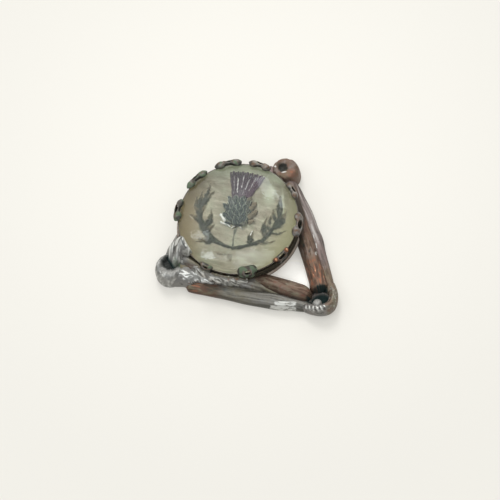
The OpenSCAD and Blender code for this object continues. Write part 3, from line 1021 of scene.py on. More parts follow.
# Section of the cup, as (radius, height), from its underside over its rolled foot and its wall to its floor
CUP_PROFILE = (
    (11.4, 0), (12.2, 0.02), (12.48, 0.1), (12.58, 0.3), (12.5, 0.52), (12.26, 0.64), (12.08, 0.8),
    (12.02, 1.4), (12.04, 2.0), (12.1, 2.4), (12.0, 2.5), (11.85, 2.46), (11.75, 2.3), (11.75, 1.2),
    (11.7, 0.6), (11.4, 0.5))
CUP_TURNS = 360
# Heights over which the foot gives way to the wall
FOOT_TOP = (0.62, 0.8)


def cup():
    """The cup's floor and wall as a heap."""
    base = cup_low[2]
    points, faces = lathe([(r, base + z) for r, z in CUP_PROFILE], CUP_TURNS)
    x, y, height = points[:, 0] - CUP[0], points[:, 1] - CUP[1], points[:, 2] - base
    angle = np.arctan2(y, x)
    wear = 0.5 + 0.5 * rough(angle * 5, height * 0.5, seed=4)
    foot = 1 - ramp(height, *FOOT_TOP)
    copper = foot * ramp(rough(angle * 14, height, seed=9), 0.3, 0.55)
    # Painted shade on the wall above the foot
    return Heap().add(points, faces, relief=0.2 + 0.5 * foot * wear + 0.2 * foot, copper=0.7 * copper,
                      recess=1 - foot, pale=foot * (0.3 + 0.5 * wear), green=0.0)


# Curl of a tab seen from its side: middle, radius, and the angle of the eyelet
CURL_X = STONE_R - 0.55
CURL_Z = GIRDLE_Z - 0.4
CURL_R = 1.26
EYELET_AT = math.radians(42)
# Tabs: angle round the cup in degrees, push outwards, offset of its lobes, their radius, share of its reach
# over the stone, bulge of its lobes, and its looks: copper, green, pale, dark. Dark is painted shade, and
# pale is painted highlight on a tab's rim and lobes
TABS = (
    (7.5, 0.1, 1.55, 1.1, 1.0, 0.2, 0.12, 0.0, 0.1, 0.0),
    (44, -0.05, 1.2, 0.85, 0.9, 0.1, 0.1, 0.0, 0.4, 0.1),
    (86, 0.0, 1.3, 1.1, 1.0, 0.2, 0.0, 0.4, 0.5, 0.15),
    (116.6, 0.05, 1.6, 1.2, 1.0, 0.25, 0.0, 0.6, 0.35, 0.25),
    (151.2, 0.05, 1.55, 1.15, 1.0, 0.2, 0.0, 0.8, 0.0, 0.4),
    (187.6, 0.0, 1.45, 1.1, 1.0, 0.2, 0.0, 0.7, 0.0, 0.5),
    (257, -0.15, 0.85, 0.58, 0.8, 0.15, 0.0, 0.5, 0.3, 0.3),
    (297, -0.05, 0.7, 1.28, 1.15, 0.05, 0.15, 0.95, 0.0, 0.7),
    (332.4, 0.0, 1.45, 0.62, 0.75, 0.5, 1.3, 0.15, 0.0, 0.45),
)
TAB_TURNS, TAB_RINGS = 96, 18
# Half sizes of the eyelet of a tab whose lobes have the offset below. Height of the lobes' middles above the
# eyelet's, and half width, foot and top of the neck
EYELET = (0.75, 0.42)
EYELET_OFFSET = 1.3
LOBE_Y = 0.25
NECK_HALF, NECK_FOOT, NECK_TOP = 1.1, -2.2, 0.85


def tab_outline(turn, offset, lobe):
    """Distance from the eyelet's middle to a tab's edge in each direction: two lobes and a neck."""
    c, s = np.cos(turn), np.sin(turn)
    reach = np.zeros_like(turn)
    for x in (-offset, offset):
        along = x * c + LOBE_Y * s
        apart = lobe**2 - (x**2 + LOBE_Y**2 - along**2)
        reach = np.maximum(reach, np.where(apart > 0, along + np.sqrt(np.maximum(apart, 0)), 0))
    side = NECK_HALF / np.maximum(np.abs(c), 1e-6)
    ends = np.where(s < 0, NECK_FOOT / np.minimum(s, -1e-6), NECK_TOP / np.maximum(s, 1e-6))
    return np.maximum(reach, np.minimum(side, ends))


def tab(row, sizes):
    """One curled tab with its eyelet as a heap."""
    angle, push, offset, lobe, over, swell, copper, green, pale, dark = row
    turn = circle(TAB_TURNS)
    c, s = np.cos(turn), np.sin(turn)
    k = np.linspace(0, 1, TAB_RINGS)[:, None]
    wide = max(offset / EYELET_OFFSET, 0.75)
    hole_x, hole_y = wide * EYELET[0] * c, wide * EYELET[1] * s
    edge = tab_outline(turn, offset, lobe) * (1 + 0.1 * rough(c * 2, s * 2, seed=angle))
    edge_x, edge_y = edge * c, edge * s
    x = hole_x + k * (edge_x - hole_x)
    y = hole_y + k * (edge_y - hole_y)
    y = np.where(y > 0, y * over, y)
    rim = np.exp(-((k * np.hypot(edge_x - hole_x, edge_y - hole_y)) / 0.25) ** 2)
    swollen = np.exp(-(((np.abs(x) - offset) / (0.6 * lobe)) ** 2 + ((y - LOBE_Y) / (0.65 * lobe)) ** 2))
    droop = -0.25 * ramp(k, 0.55, 1.0) * ramp(y, -1.2, 0.2)
    dent = rough(x * 1.3, y * 1.3, seed=angle)
    lift = 0.12 * rim + swell * swollen + droop + 0.12 * dent
    half = sizes.tab_thickness / 2 * np.sqrt(np.clip(1 - (2 * k - 1) ** 6, 0.05, 1))

    def surface(side):
        """The tab's outer surface for 1 and its inner surface for -1."""
        bend = EYELET_AT + y / CURL_R
        r = CURL_R + lift + side * half
        return round_cup(
            CURL_X + push + r * np.cos(bend), math.radians(angle) + x / WALL_R, CURL_Z + r * np.sin(bend))

    outer, inner = surface(1), surface(-1)
    loop = np.concatenate([outer, inner[::-1], outer[:1]])
    points, faces = skin(loop, capped=False)
    looks = {
        # Painted highlight on the rim and the lobes from pale, and painted shade from dark
        "relief": np.clip(0.35 + 0.35 * rim + 0.5 * swollen - 0.5 * dark + 0.4 * dent, 0, 1),
        "pale": pale * (0.2 + 0.8 * rim + 0.6 * swollen),
        "copper": copper * (swollen if copper > 1 else 1 + 0 * swollen),
        "green": green * (0.6 + 1.8 * dent),
    }
    masks = {name: np.concatenate([value, 0 * value, value[:1]]).ravel() for name, value in looks.items()}
    return Heap().add(points, faces, recess=0.3 * dark, **masks)


# The tab that was pressed flat against the left horn, from its lip on the stone outwards: place along it,
# distance from the cup's axis, height of its middle, half width, crown, and angle round the cup in degrees
FLAP = (
    (0.0, 11.4, 6.6, 1.5, 0.0, 225.5), (0.05, 11.55, 6.7, 1.9, 0.05, 225.5),
    (0.14, 12.0, 6.5, 2.15, 0.3, 225), (0.35, 13.0, 5.5, 2.1, 0.6, 223), (0.6, 14.0, 4.6, 2.2, 0.6, 223),
    (0.85, 15.1, 3.85, 2.4, 0.5, 225.5), (1.0, 16.0, 3.0, 2.0, 0.3, 227))
FLAP_ACROSS, FLAP_ALONG = 90, 110
FLAP_LENGTH = 4.6
FLAP_THICK = 0.3


def flap():
    """The flattened tab as a heap: a streaked cushion with a pale lip."""
    s = np.linspace(0, 1, FLAP_ALONG)[:, None]
    reach, height, half_w, crown, angle = columns(FLAP, s[:, 0])
    a = np.linspace(-1, 1, FLAP_ACROSS)[None, :]
    across, out = a * half_w, np.radians(angle)
    run = s * FLAP_LENGTH
    ahead, line = 0.7 * (run + across), 0.7 * (run - across)
    fine = np.clip(0.5 + 1.5 * rough(ahead * 0.6, line * 2.3, seed=61), 0, 1)
    groove = np.clip(0.5 + 1.3 * rough(ahead * 0.4, line * 1.3, seed=64), 0, 1)
    facet = ramp(across, 0.9, 1.3) * (1 - ramp(s, 0.3, 0.5))
    lip = 1 - ramp(s, 0.04, 0.1)
    bend = -0.11 * across**2 * (1 - 0.75 * ramp(s, 0.05, 0.5))
    top = height + crown * (1 - a**2) - 0.9 * np.abs(a) ** 6 + 0.3 * (groove - 0.5) * (1 - lip) + 0.1 * fine
    sheets = []
    for drop in (0.0, FLAP_THICK):
        r = reach + bend - 0.3 * drop * lip
        x = CUP[0] + r * np.cos(out) - across * np.sin(out)
        y = CUP[1] + r * np.sin(out) + across * np.cos(out)
        sheets.append(np.stack([x, y, top - drop], -1))
    looks = {
        "relief": 0.8 * groove + 0.4 * lip,
        "pale": np.maximum(0.75 * lip, 0.5 * facet + 0.75 * ramp(fine, 0.62, 0.92) * (1 - lip)),
        "silver": 0.35 * groove,
        "pit": np.maximum(0.9 * ramp(s, 0.85, 1), 0.6 * hump(s, 0.145, 0.055) * (1 - facet)),
        "green": 0.62 * ramp(s, 0.45, 0.8) * ramp(across, -0.2, 1.2),
    }
    masks = {name: np.concatenate([value, value[:, ::-1]], 1) for name, value in looks.items()}
    return Heap().cover(np.concatenate([sheets[0], sheets[1][:, ::-1]], 1), masks)


def cabochon_profile():
    """The stone's section as (radius, height), from the back up to the top of its dome."""
    back_r = STONE_R - BEVEL_IN
    bevel_top = GIRDLE_Z - GIRDLE_H
    rows = [(AXIS_R, STONE_BACK_Z), (back_r - 0.2, STONE_BACK_Z), (back_r, STONE_BACK_Z + 0.05),
            (STONE_R - 0.06, bevel_top - 0.08), (STONE_R, bevel_top + 0.05), (STONE_R, GIRDLE_Z - 0.1),
            (STONE_R - 0.05, GIRDLE_Z + 0.02)]
    for a in np.linspace(math.asin((STONE_R - 0.12) / DOME_R), 0, 40)[:-1]:
        rows.append((DOME_R * math.sin(a), DOME_TOP_Z - DOME_R + DOME_R * math.cos(a)))
    return [*rows, (AXIS_R, DOME_TOP_Z)]


# The thistle's own directions: it leans by this angle from +Y
THISTLE_LEAN = math.radians(9.7)
# Ground: distance between its points, height of its middle, radius, and the bowl's rise from a radius on
GROUND_STEP = 0.085
GROUND_Z = STONE_BACK_Z + 0.16
GROUND_R = STONE_R - 0.28
BOWL_FROM, BOWL_RISE = 7.2, 2.55
# Gap between the backing and the stone's skin
INSET = 0.07


def on_ground(x, y, height):
    """Points from the thistle's own directions, a height above the ground's bowl."""
    c, s = math.cos(THISTLE_LEAN), math.sin(THISTLE_LEAN)
    out = np.clip((np.hypot(x, y) - BOWL_FROM) / (GROUND_R - BOWL_FROM), 0, 1)
    z = GROUND_Z + BOWL_RISE * out**2 + height * (1 - 0.7 * out)
    return np.stack([CUP[0] + c * x - s * y, CUP[1] + s * x + c * y, z], -1)


def stroke(x, y, route, widths):
    """How deep each point lies in a tapering stroke: 1 on its middle line and 0 at its edge."""
    route = np.array(route, float)
    widths = np.interp(np.linspace(0, 1, len(route)), np.linspace(0, 1, len(widths)), widths)
    best = np.full(x.shape, -1.0)
    for (x0, y0), (x1, y1), w0, w1 in zip(route, route[1:], widths, widths[1:]):
        dx, dy = x1 - x0, y1 - y0
        t = np.clip(((x - x0) * dx + (y - y0) * dy) / (dx * dx + dy * dy), 0, 1)
        apart = np.hypot(x - x0 - t * dx, y - y0 - t * dy)
        width = w0 + (w1 - w0) * t
        best = np.maximum(best, 1 - apart / np.maximum(width, 0.02))
    return np.clip(best, 0, 1)


def bent(start, end, bow, steps=9):
    """Points from start to end, bowed to the left by a share of the length."""
    start, end = np.array(start, float), np.array(end, float)
    t = np.linspace(0, 1, steps)[:, None]
    side = np.array([-(end - start)[1], (end - start)[0]])
    return start + t * (end - start) + 4 * t * (1 - t) * bow * side


# Sprays, in the thistle's own directions: stems as points with half widths, and leaves as root, tip, bow,
# half width and darkness
SPRAY_STEMS = (
    (((-0.3, -5.5), (-1.7, -5.1), (-3.2, -4.6), (-4.4, -4.0), (-5.4, -2.9), (-6.3, -1.6), (-6.9, -0.3),
      (-7.5, 1.3), (-8.2, 3.4)), (0.35, 0.4, 0.6, 0.9, 1.0, 0.95, 0.6, 0.35, 0.15)),
    (((-0.3, -5.5), (1.3, -5.1), (2.9, -4.5), (4.9, -3.5), (5.9, -2.0), (6.5, -0.6), (7.2, 0.8), (7.6, 2.6),
      (7.1, 5.6)), (0.4, 0.5, 0.5, 0.65, 0.6, 0.55, 0.6, 0.4, 0.15)),
)
LEAVES = (
    ((-4.0, -4.2), (-6.6, -4.2), 0.08, 0.75, 1.0), ((-4.8, -3.6), (-7.3, -4.8), 0.1, 0.55, 0.7),
    ((-5.2, -2.8), (-4.0, -1.3), 0.15, 0.4, 0.8), ((-5.9, -2.2), (-5.2, 1.6), -0.12, 0.6, 0.95),
    ((-6.4, -1.2), (-9.1, 0.2), -0.12, 0.6, 0.85), ((-6.9, -0.4), (-8.7, 2.2), -0.08, 0.5, 0.7),
    ((-7.4, 1.0), (-8.4, 4.0), 0.05, 0.5, 0.9), ((-7.2, 0.6), (-7.3, 5.0), 0.06, 0.6, 0.95),
    ((-7.2, 1.6), (-6.2, 6.9), -0.06, 0.6, 0.95), ((-6.9, 1.6), (-5.1, 5.1), 0.1, 0.65, 0.95),
    ((-7.0, -0.2), (-6.2, 2.4), 0.1, 0.4, 0.8),
    ((2.9, -4.4), (3.0, -1.7), 0.12, 0.5, 0.95), ((5.3, -2.8), (5.1, 1.1), 0.1, 0.55, 0.95),
    ((5.9, -1.6), (5.9, 2.2), 0.06, 0.45, 0.7), ((6.6, -0.8), (8.5, 2.6), -0.1, 0.85, 1.0),
    ((6.7, 0.6), (6.1, 3.2), 0.1, 0.4, 0.8), ((7.3, 1.4), (7.0, 5.9), 0.05, 0.45, 0.95),
    ((7.6, 1.6), (9.0, 3.2), -0.1, 0.35, 0.6), ((4.3, -3.8), (7.2, -3.2), -0.1, 0.5, 0.6),
    ((6.3, -1.9), (9.2, -0.9), -0.12, 0.3, 0.7), ((3.4, -4.2), (5.6, -4.4), 0.1, 0.35, 0.5),
    ((-3.0, -6.9), (-0.2, -7.1), 0.06, 0.18, 0.4), ((-0.8, -7.0), (-0.4, -8.0), 0.0, 0.5, 0.6),
    ((5.6, 8.7), (6.3, 3.3), 0.02, 0.12, 0.3),
)
# Half widths of a leaf from its root on, as shares of its own, half width of its tip, and how far its edges
# are torn
LEAF_WIDTHS = (0.8, 1.6, 1.35, 0.6)
LEAF_POINT = 0.05
LEAF_TEAR = 0.24
# The thistle's own stem: its points and their half widths
STEM = ((-0.34, -5.6), (-0.42, -3.4), (-0.2, -1.2))
STEM_WIDTHS = (0.3, 0.22, 0.35)
# Head: its middle and half sizes. Flower: left and right ends of its foot and of its top, number of its
# blades and their half widths
HEAD_AT = (0.0, 1.75)
HEAD_SIZE = (2.7, 3.15)
TUFT_FOOT = ((-1.6, 4.2), (1.5, 4.5))
TUFT_TOP = ((-2.7, 9.5), (3.6, 9.1))
TUFT_BLADES = 15
BLADE_WIDTHS = (0.16, 0.22, 0.3, 0.24)
# Painted highlights: bright rays in the flower and glints beside the head: start, end, half width, strength
RAYS = (
    ((-1.5, 5.0), (-1.95, 8.8), 0.15, 0.45), ((-0.9, 5.3), (-1.2, 8.3), 0.18, 0.7),
    ((-0.3, 6.4), (-0.2, 9.0), 0.16, 0.5), ((0.45, 6.0), (0.85, 8.1), 0.17, 0.55),
    ((1.1, 5.8), (2.1, 8.6), 0.16, 0.5), ((0.1, 4.9), (0.2, 6.3), 0.13, 0.4),
    ((-3.2, 0.7), (-2.35, -0.3), 0.6, 1.0), ((-3.0, -0.7), (-1.3, -1.4), 0.42, 1.0),
    ((2.6, -2.75), (2.85, -1.9), 0.2, 0.9), ((-0.9, -1.6), (-0.5, -1.2), 0.25, 0.6),
    ((0.5, -1.3), (1.0, -1.7), 0.2, 0.6), ((-9.2, 0.15), (-8.5, -0.4), 0.2, 0.4),
)


def thistle_ground(sizes):
    """The ground inside the glass: a bowl whose floor carries the thistle in relief."""
    n = int(2 * GROUND_R / GROUND_STEP)
    axis = np.linspace(-GROUND_R, GROUND_R, n)
    gx, gy = np.meshgrid(axis, axis)
    rho = np.hypot(gx, gy)
    scale = np.where(rho > 0, np.maximum(np.abs(gx), np.abs(gy)) / np.maximum(rho, 1e-9), 1)
    x, y = gx * scale, gy * scale
    torn_x, torn_y = (
        at + LEAF_TEAR * (rough(x * 1.9, y * 1.9, seed=seed) + 0.5 * rough(x * 4.5, y * 4.5, seed=seed + 1))
        for at, seed in ((x, 71), (y, 73)))
    leaf, flower, glint, height, tips = (np.zeros(x.shape) for _ in range(5))
    for route, widths in SPRAY_STEMS:
        deep = stroke(0.6 * x + 0.4 * torn_x, 0.6 * y + 0.4 * torn_y, route, widths)
        leaf = np.maximum(leaf, 0.9 * ramp(deep, 0, 0.6))
        height = np.maximum(height, 0.4 * ramp(deep, 0, 1))
    for root, tip, bow, width, dark in LEAVES:
        widths = (*(width * share for share in LEAF_WIDTHS), LEAF_POINT)
        deep = stroke(torn_x, torn_y, bent(root, tip, bow), widths)
        leaf = np.maximum(leaf, dark * ramp(deep, 0, 0.75))
        tips = np.maximum(tips, ramp(deep, 0, 0.5) * ramp(np.hypot(x - tip[0], y - tip[1]), 2.2, 0.4))
        height = np.maximum(height, 0.55 * dark * ramp(deep, 0, 1))
    deep = stroke(x, y, STEM, STEM_WIDTHS)
    leaf = np.maximum(leaf, 0.6 * ramp(deep, 0, 0.6))
    foot, top = np.array(TUFT_FOOT), np.array(TUFT_TOP)
    for i in range(TUFT_BLADES):
        t = i / (TUFT_BLADES - 1)
        start = foot[0] + t * (foot[1] - foot[0])
        end = top[0] + t * (top[1] - top[0]) + (0, 0.3 * math.sin(math.pi * t) + 0.2 * (i % 2) - 0.1)
        deep = stroke(x, y, bent(start, end, 0.03 * (t - 0.5)), BLADE_WIDTHS)
        flower = np.maximum(flower, ramp(deep, 0, 0.45))
        height = np.maximum(height, 0.7 * ramp(deep, 0, 1))
    for start, end, width, strength in RAYS:
        deep = stroke(x, y, (start, end), (0.5 * width, 1.2 * width, 0.5 * width))
        glint = np.maximum(glint, strength * ramp(deep, 0, 0.45))
        height = np.maximum(height, 0.8 * strength * ramp(deep, 0, 1))
    r = np.hypot(x, y)
    # Painted reflections on the dome: a pale band right of the flower, a pale top and a thin line at the
    # right edge
    pale = 0.8 * hump(x - 0.12 * y, 4.4, 1.6) * ramp(y, 2.4, 6.5) * ramp(10.5 - r, 0, 2)
    pale = np.maximum(pale, 0.9 * ramp(y, 7, 10))
    pale = np.maximum(pale, 0.6 * hump(x + 0.1 * y, 8.1, 0.5) * ramp(y, 1, 3) * ramp(-y, -8, -6))
    leaf = leaf * (1.1 - 0.25 * ramp(x, 2, 5)) * (1 + 0.6 * rough(x * 1.5, y * 1.5, seed=75))
    faces = [(a, a + 1, a + n + 1, a + n) for i in range(n - 1) for a in range(i * n, i * n + n - 1)]
    return Heap().add(
        on_ground(x, y, height * sizes.thistle_relief), faces,
        leaf=leaf, tips=tips, flower=flower, glint=glint, pale=pale, plum=ramp(x - 0.4 * y, -2.4, -0.6),
        olive=0.9 * ramp(x - 0.25 * y, 4, 11), umber=0.9 * ramp(-x - 0.05 * y, 4.5, 10.5))


def ground_backing():
    """The dark outside of the ground, just inside the stone's back, bevel and girdle."""
    rows = [
        (GROUND_R, GROUND_Z + BOWL_RISE), (STONE_R - INSET, GROUND_Z + BOWL_RISE - 0.05),
        (STONE_R - INSET, GIRDLE_Z - GIRDLE_H + 0.05), (STONE_R - BEVEL_IN - INSET, STONE_BACK_Z + INSET),
        (AXIS_R, STONE_BACK_Z + INSET)]
    points, faces = lathe(rows, STONE_TURNS)
    return Heap().add(points, faces[:-2 * STONE_TURNS], backing=1.0)


def bract(root, tip, width, rise, base):
    """Rings of one pointed bract, crowned along its middle, in the thistle's own directions."""
    t = np.linspace(0, 1, 10)[:, None]
    a = np.linspace(-1, 1, 9)[None, :]
    root, tip = np.array(root, float), np.array(tip, float)
    along = tip - root
    side = np.array([-along[1], along[0]]) / np.linalg.norm(along)
    half = width * np.sqrt(np.clip(1 - t**2.2, 0, 1)) * (0.7 + 0.6 * t * (1 - t))
    xy = root + t[..., None] * along + (a * half)[..., None] * side
    height = base + rise * (0.3 + 0.7 * t) * (1 - 0.8 * a**2) + 0 * half
    upper = np.concatenate([xy, height[..., None]], -1)
    lower = upper.copy()
    lower[..., 2] = base - 0.05
    # Edges and tips, which take the painted highlight
    edge = np.abs(a) ** 4 * 0.9 + 0.8 * t**5
    return np.concatenate([upper, lower[:, ::-1]], 1), np.concatenate([edge, 0 * edge], 1)


# Bracts: number of rows, distance apart in a row, half width and rise
BRACT_ROWS = 7
BRACT_PITCH = 1.05
BRACT_HALF = 0.56
BRACT_RISE = 0.42


def thistle_head(sizes):
    """The scaly head under the flower: rows of bracts that overlap upwards, on a round body."""
    heap = Heap()
    for row in range(BRACT_ROWS):
        level = row / (BRACT_ROWS - 1)
        rise = -0.9 + 1.5 * level
        y = HEAD_AT[1] + HEAD_SIZE[1] * rise
        half = HEAD_SIZE[0] * math.sqrt(max(1 - 0.85 * rise**2, 0.08))
        count = max(3, int(round(2 * half / BRACT_PITCH)))
        for i in range(count):
            place = (i + 0.5 * (row % 2)) / max(count - 0.5, 1) * 2 - 1
            wobble = noise.noise((row * 3.1, i * 1.7, 0.5))
            x = HEAD_AT[0] + place * half * 0.84
            length = 1.25 - 0.15 * level + 0.35 * wobble
            fan = math.radians((12 + 52 * abs(place)) * (1.15 - 0.65 * level)) * math.copysign(1, place)
            tip = (x + length * math.sin(fan), y + length * math.cos(fan))
            crown = math.sqrt(max(1 - 0.8 * place**2, 0.1))
            base = sizes.thistle_relief * (0.1 + 0.8 * crown) - 0.05 * level
            rings, edge = bract((x, y), tip, BRACT_HALF, BRACT_RISE, base)
            masks = {"head": 1.0, "husk": 0.8 * ramp(place, 0.35, 0.9), "scale": edge}
            heap.cover(on_ground(*np.moveaxis(rings, -1, 0)), masks)
    turn = circle(48)[None, :]
    fall = np.linspace(1, 0.03, 10)[:, None]
    x = HEAD_AT[0] + 0.95 * HEAD_SIZE[0] * fall * np.cos(turn)
    y = HEAD_AT[1] + 0.95 * HEAD_SIZE[1] * fall * np.sin(turn)
    rings = on_ground(x, y, sizes.thistle_relief * np.sqrt(1 - (0.98 * fall) ** 2) - 0.05)
    return heap.cover(rings, {"head": 1.0})


# Pin: place of its middle, its direction, its back bar's length, width, top and thickness, and its stem's
# height
PIN_AT = np.array([-0.9, -0.2]) - PLAN_MIDDLE
PIN_TURN = math.radians(9.7)
PIN_L, PIN_W = 14.0, 3.0
PIN_TOP = SEAT_Z - SEAT_GAP
PIN_THICK = 0.4
PIN_STEM_Z = 0.75
# Distances of the hinge, the catch and the stem's tip from the ends of the bar
HINGE_IN = 1.1
CATCH_IN = 1.4
TIP_IN = 0.35
# Foot of the hinge's walls seen from the side, as (distance along the pin, height), places of the walls
# across the pin, and radii along the hinge's own pin
HINGE_WALL = ((-0.7, 0.9), (-0.4, 0.45), (0, 0.3), (0.4, 0.45), (0.7, 0.9))
HINGE_WALLS_Y = (-1.0, 1.0)
HINGE_PIN_RADII = (0.05, 0.24, 0.24, 0.34, 0.34, 0.34, 0.24, 0.24, 0.05)
CATCH_ACROSS = (-0.6, -0.2, 0.2, 0.6)


def on_pin(points):
    """Turns points from the pin's own directions to its place."""
    points = np.asarray(points, float)
    c, s = math.cos(PIN_TURN), math.sin(PIN_TURN)
    x, y = points[..., 0].copy(), points[..., 1].copy()
    return np.stack([PIN_AT[0] + c * x - s * y, PIN_AT[1] + s * x + c * y, points[..., 2]], -1)


def rounded_plate(length, width, low, high, corner, edge):
    """A flat plate with round corners and rounded edges. Rings of points."""
    turn = circle(64)
    c, s = np.cos(turn), np.sin(turn)
    rings = []
    for inset, z in ((edge, low), (0.3 * edge, low + 0.3 * edge), (0, low + edge), (0, high - edge),
                     (0.3 * edge, high - 0.3 * edge), (edge, high)):
        x = np.sign(c) * (length / 2 - corner) + (corner - inset) * c
        y = np.sign(s) * (width / 2 - corner) + (corner - inset) * s
        rings.append(np.stack([x, y, z + 0 * turn], -1))
    return np.array(rings)


def tube(route, radii, turns=24):
    """Rings round a route of points that lies in the pin's upright plane or across it."""
    route = np.array(route, float)
    ahead = np.gradient(route, axis=0)
    ahead /= np.linalg.norm(ahead, axis=1)[:, None]
    side = np.cross(ahead, (0, 0, 1.0))
    side /= np.linalg.norm(side, axis=1)[:, None]
    up = np.cross(side, ahead)
    turn = circle(turns)[None, :, None]
    radii = np.asarray(radii, float)[:, None, None]
    return route[:, None] + radii * (np.cos(turn) * side[:, None] + np.sin(turn) * up[:, None])


def pin_piece(sizes):
    """Back bar, hinge knuckle, tapered stem and curled catch as a heap."""
    hinge_x = HINGE_IN - PIN_L / 2
    parts = [rounded_plate(PIN_L, PIN_W, PIN_TOP - PIN_THICK, PIN_TOP, 0.9, 0.1)]
    for y in HINGE_WALLS_Y:
        outline = ((-0.7, PIN_TOP - 0.3), *HINGE_WALL, (0.7, PIN_TOP - 0.3))
        parts.append(np.array([[(hinge_x + x, y + side, z) for x, z in outline] for side in (-0.2, 0.2)]))
    knuckle = np.linspace(-1.25, 1.25, len(HINGE_PIN_RADII))
    parts.append(tube([(hinge_x, y, PIN_STEM_Z) for y in knuckle], HINGE_PIN_RADII))
    far = PIN_L / 2 - TIP_IN
    xs = np.linspace(hinge_x, far, 40)
    taper = np.interp(xs, [hinge_x, hinge_x + 0.6, far - 4, far - 0.4, far], [0.7, 1, 0.9, 0.35, 0.04])
    parts.append(tube([(x, 0, PIN_STEM_Z) for x in xs], sizes.pin_stem / 2 * taper))
    turns = np.radians(np.linspace(235, -60, 24))
    middle = np.array([0.05, PIN_STEM_Z + 0.03])
    hook = middle + np.stack([0.56 * np.cos(turns), -0.5 * np.sin(turns)], -1)
    outer = np.vstack([[(0.75, PIN_TOP - 0.2), (0.72, 1.3)], hook[hook[:, 1] > 0.16]])
    loop = np.vstack([outer, (outer + (middle - outer) * 0.28)[::-1]])
    catch_x = PIN_L / 2 - CATCH_IN
    parts.append(np.array([[(catch_x + shift, *point) for point in loop] for shift in CATCH_ACROSS]))
    heap = Heap()
    for rings in parts:
        heap.cover(on_pin(rings), {})
    return heap


def tools(context):
    """The sizes and colours that the operators read."""
    return context.scene.brooch_sizes, context.scene.brooch_colours


class BROOCH_OT_horns(bpy.types.Operator):
    """Build the textured horns, bands and butts of the frame"""

    bl_idname = "brooch.horns"
    bl_label = "Horns"

    def execute(self, context):
        sizes, colours = tools(context)
        plate = worn_plate(colours)
        heaps = {name: tine(name, sizes) for name in TINES}
        heaps.update({name: butt(name, sizes) for name in BUTTS})
        heaps.update(strap_right=strap(sizes), collar_lower=collar(sizes), ball_right=ball())
        for name, heap in heaps.items():
            heap.piece(name, plate, "worn_silver_plate", ["frame"])
        return {"FINISHED"}


class BROOCH_OT_gallery(bpy.types.Operator):
    """Build the cup and the tabs that hold the stone"""

    bl_idname = "brooch.gallery"
    bl_label = "Gallery"

    def execute(self, context):
        sizes, colours = tools(context)
        copper = gallery_copper(colours)
        cup().piece("gallery_cup", copper, "copper_gallery", ["setting"], sharp=50)
        for i, row in enumerate(TABS[:sizes.tab_count]):
            tab(row, sizes).piece(f"gallery_tab_{i + 1}", copper, "copper_gallery", ["setting"])
        flap().piece("gallery_tab_flat", worn_plate(colours), "copper_gallery", ["setting"], sharp=50)
        return {"FINISHED"}


class BROOCH_OT_cabochon(bpy.types.Operator):
    """Build the glass cabochon and give the foil behind it its finish"""

    bl_idname = "brooch.cabochon"
    bl_label = "Cabochon"

    def execute(self, context):
        _, colours = tools(context)
        points, faces = lathe(cabochon_profile(), STONE_TURNS)
        Heap().add(points, faces).piece("cabochon", cabochon_glass(colours), "cabochon_glass", ["stone"])
        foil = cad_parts["foil"]
        foil.data.materials.clear()
        foil.data.materials.append(foil_back(colours))
        return {"FINISHED"}


class BROOCH_OT_thistle(bpy.types.Operator):
    """Build the thistle and its ground inside the glass"""

    bl_idname = "brooch.thistle"
    bl_label = "Thistle"

    def execute(self, context):
        sizes, colours = tools(context)
        paint = thistle_paint(colours)
        thistle_ground(sizes).piece("thistle_ground", paint, "foil_ground")
        ground_backing().piece("thistle_backing", paint, "foil_ground")
        thistle_head(sizes).piece("thistle_head", paint, "foil_ground")
        return {"FINISHED"}


class BROOCH_OT_pin(bpy.types.Operator):
    """Build the pin on the brooch's back"""

    bl_idname = "brooch.pin"
    bl_label = "Pin"

    def execute(self, context):
        sizes, colours = tools(context)
        pin_piece(sizes).piece("pin_and_catch", pin_steel(colours), "pin_steel", ["pin"], sharp=40)
        return {"FINISHED"}


# Lamps mirrored in the dome: name, place of the mirror image seen from the camera, as offsets to the right
# and upwards from the stone's middle, size of the image, brightness
PANELS = (
    ("window_low", (-5.8, -7.35), (2.8, 1.5), 6.5),
    ("window_left", (-7.55, -3.5), (3.4, 1.6), 2.8),
    ("card_near", (3.4, -7.5), (7.8, 2.4), 2.1),
    ("card_low", (2.4, -9.3), (7.0, 1.6), 1.7),
    ("card_tip", (-2.4, -7.8), (3.8, 1.3), 1.7),
    ("window_far", (5.6, 6.1), (2.9, 4.4), 2.2),
    ("frame_far", (8.3, 3.7), (1.1, 3.3), 3.0),
)
PANEL_TINT = (0.88, 0.96, 1.0)
# Distance of these lamps from the dome, in metres
PANEL_DISTANCE = 0.65
# Key light: its direction, its power in watts, and its size and distance in metres
KEY_PLAN = math.radians(118)
KEY_RISE = math.radians(50)
KEY_POWER = 2.5
KEY_SIZE = 0.25
KEY_DISTANCE = 0.7
# Room: its tones from the horizon upwards, its tone towards the key light, and the strength of it all
ROOM = (
    (0.0, (0.3, 0.3, 0.3)), (0.2, (0.4, 0.4, 0.4)), (0.7, (0.95, 0.94, 0.92)), (1.0, (1.05, 1.04, 1.01)))
ROOM_BRIGHT = (2.0, 1.97, 1.9)
ROOM_STRENGTH = 0.7
# Floor: its tones near the bright spot, far from it and in the frame's gap, with the distances over which
# they change, its faint glow, and its size and drop below the brooch in metres. The bright spot is a painted
# pool of light, the lighter tone in the gap is painted light where the frame shades the floor, and the glow
# is painted fill light that lifts the shadows
BRIGHT_AT, BRIGHT_FADE = (-8.0, 14.0, 0.0), (15, 75)
GAP_AT, GAP_FADE = (8.0, -7.3, 0.0), (2.5, 6)
FLOOR_NEAR = (0.4, 0.391, 0.367)
FLOOR_FAR = (0.357, 0.35, 0.329)
FLOOR_GAP_LIT = (0.77, 0.762, 0.74)
FLOOR_FILL_GLOW = (1.0, 0.97, 0.9)
FLOOR_FILL_GLOW_STRENGTH = 0.34
FLOOR_SIZE = 1.6
FLOOR_DROP = 0.00002


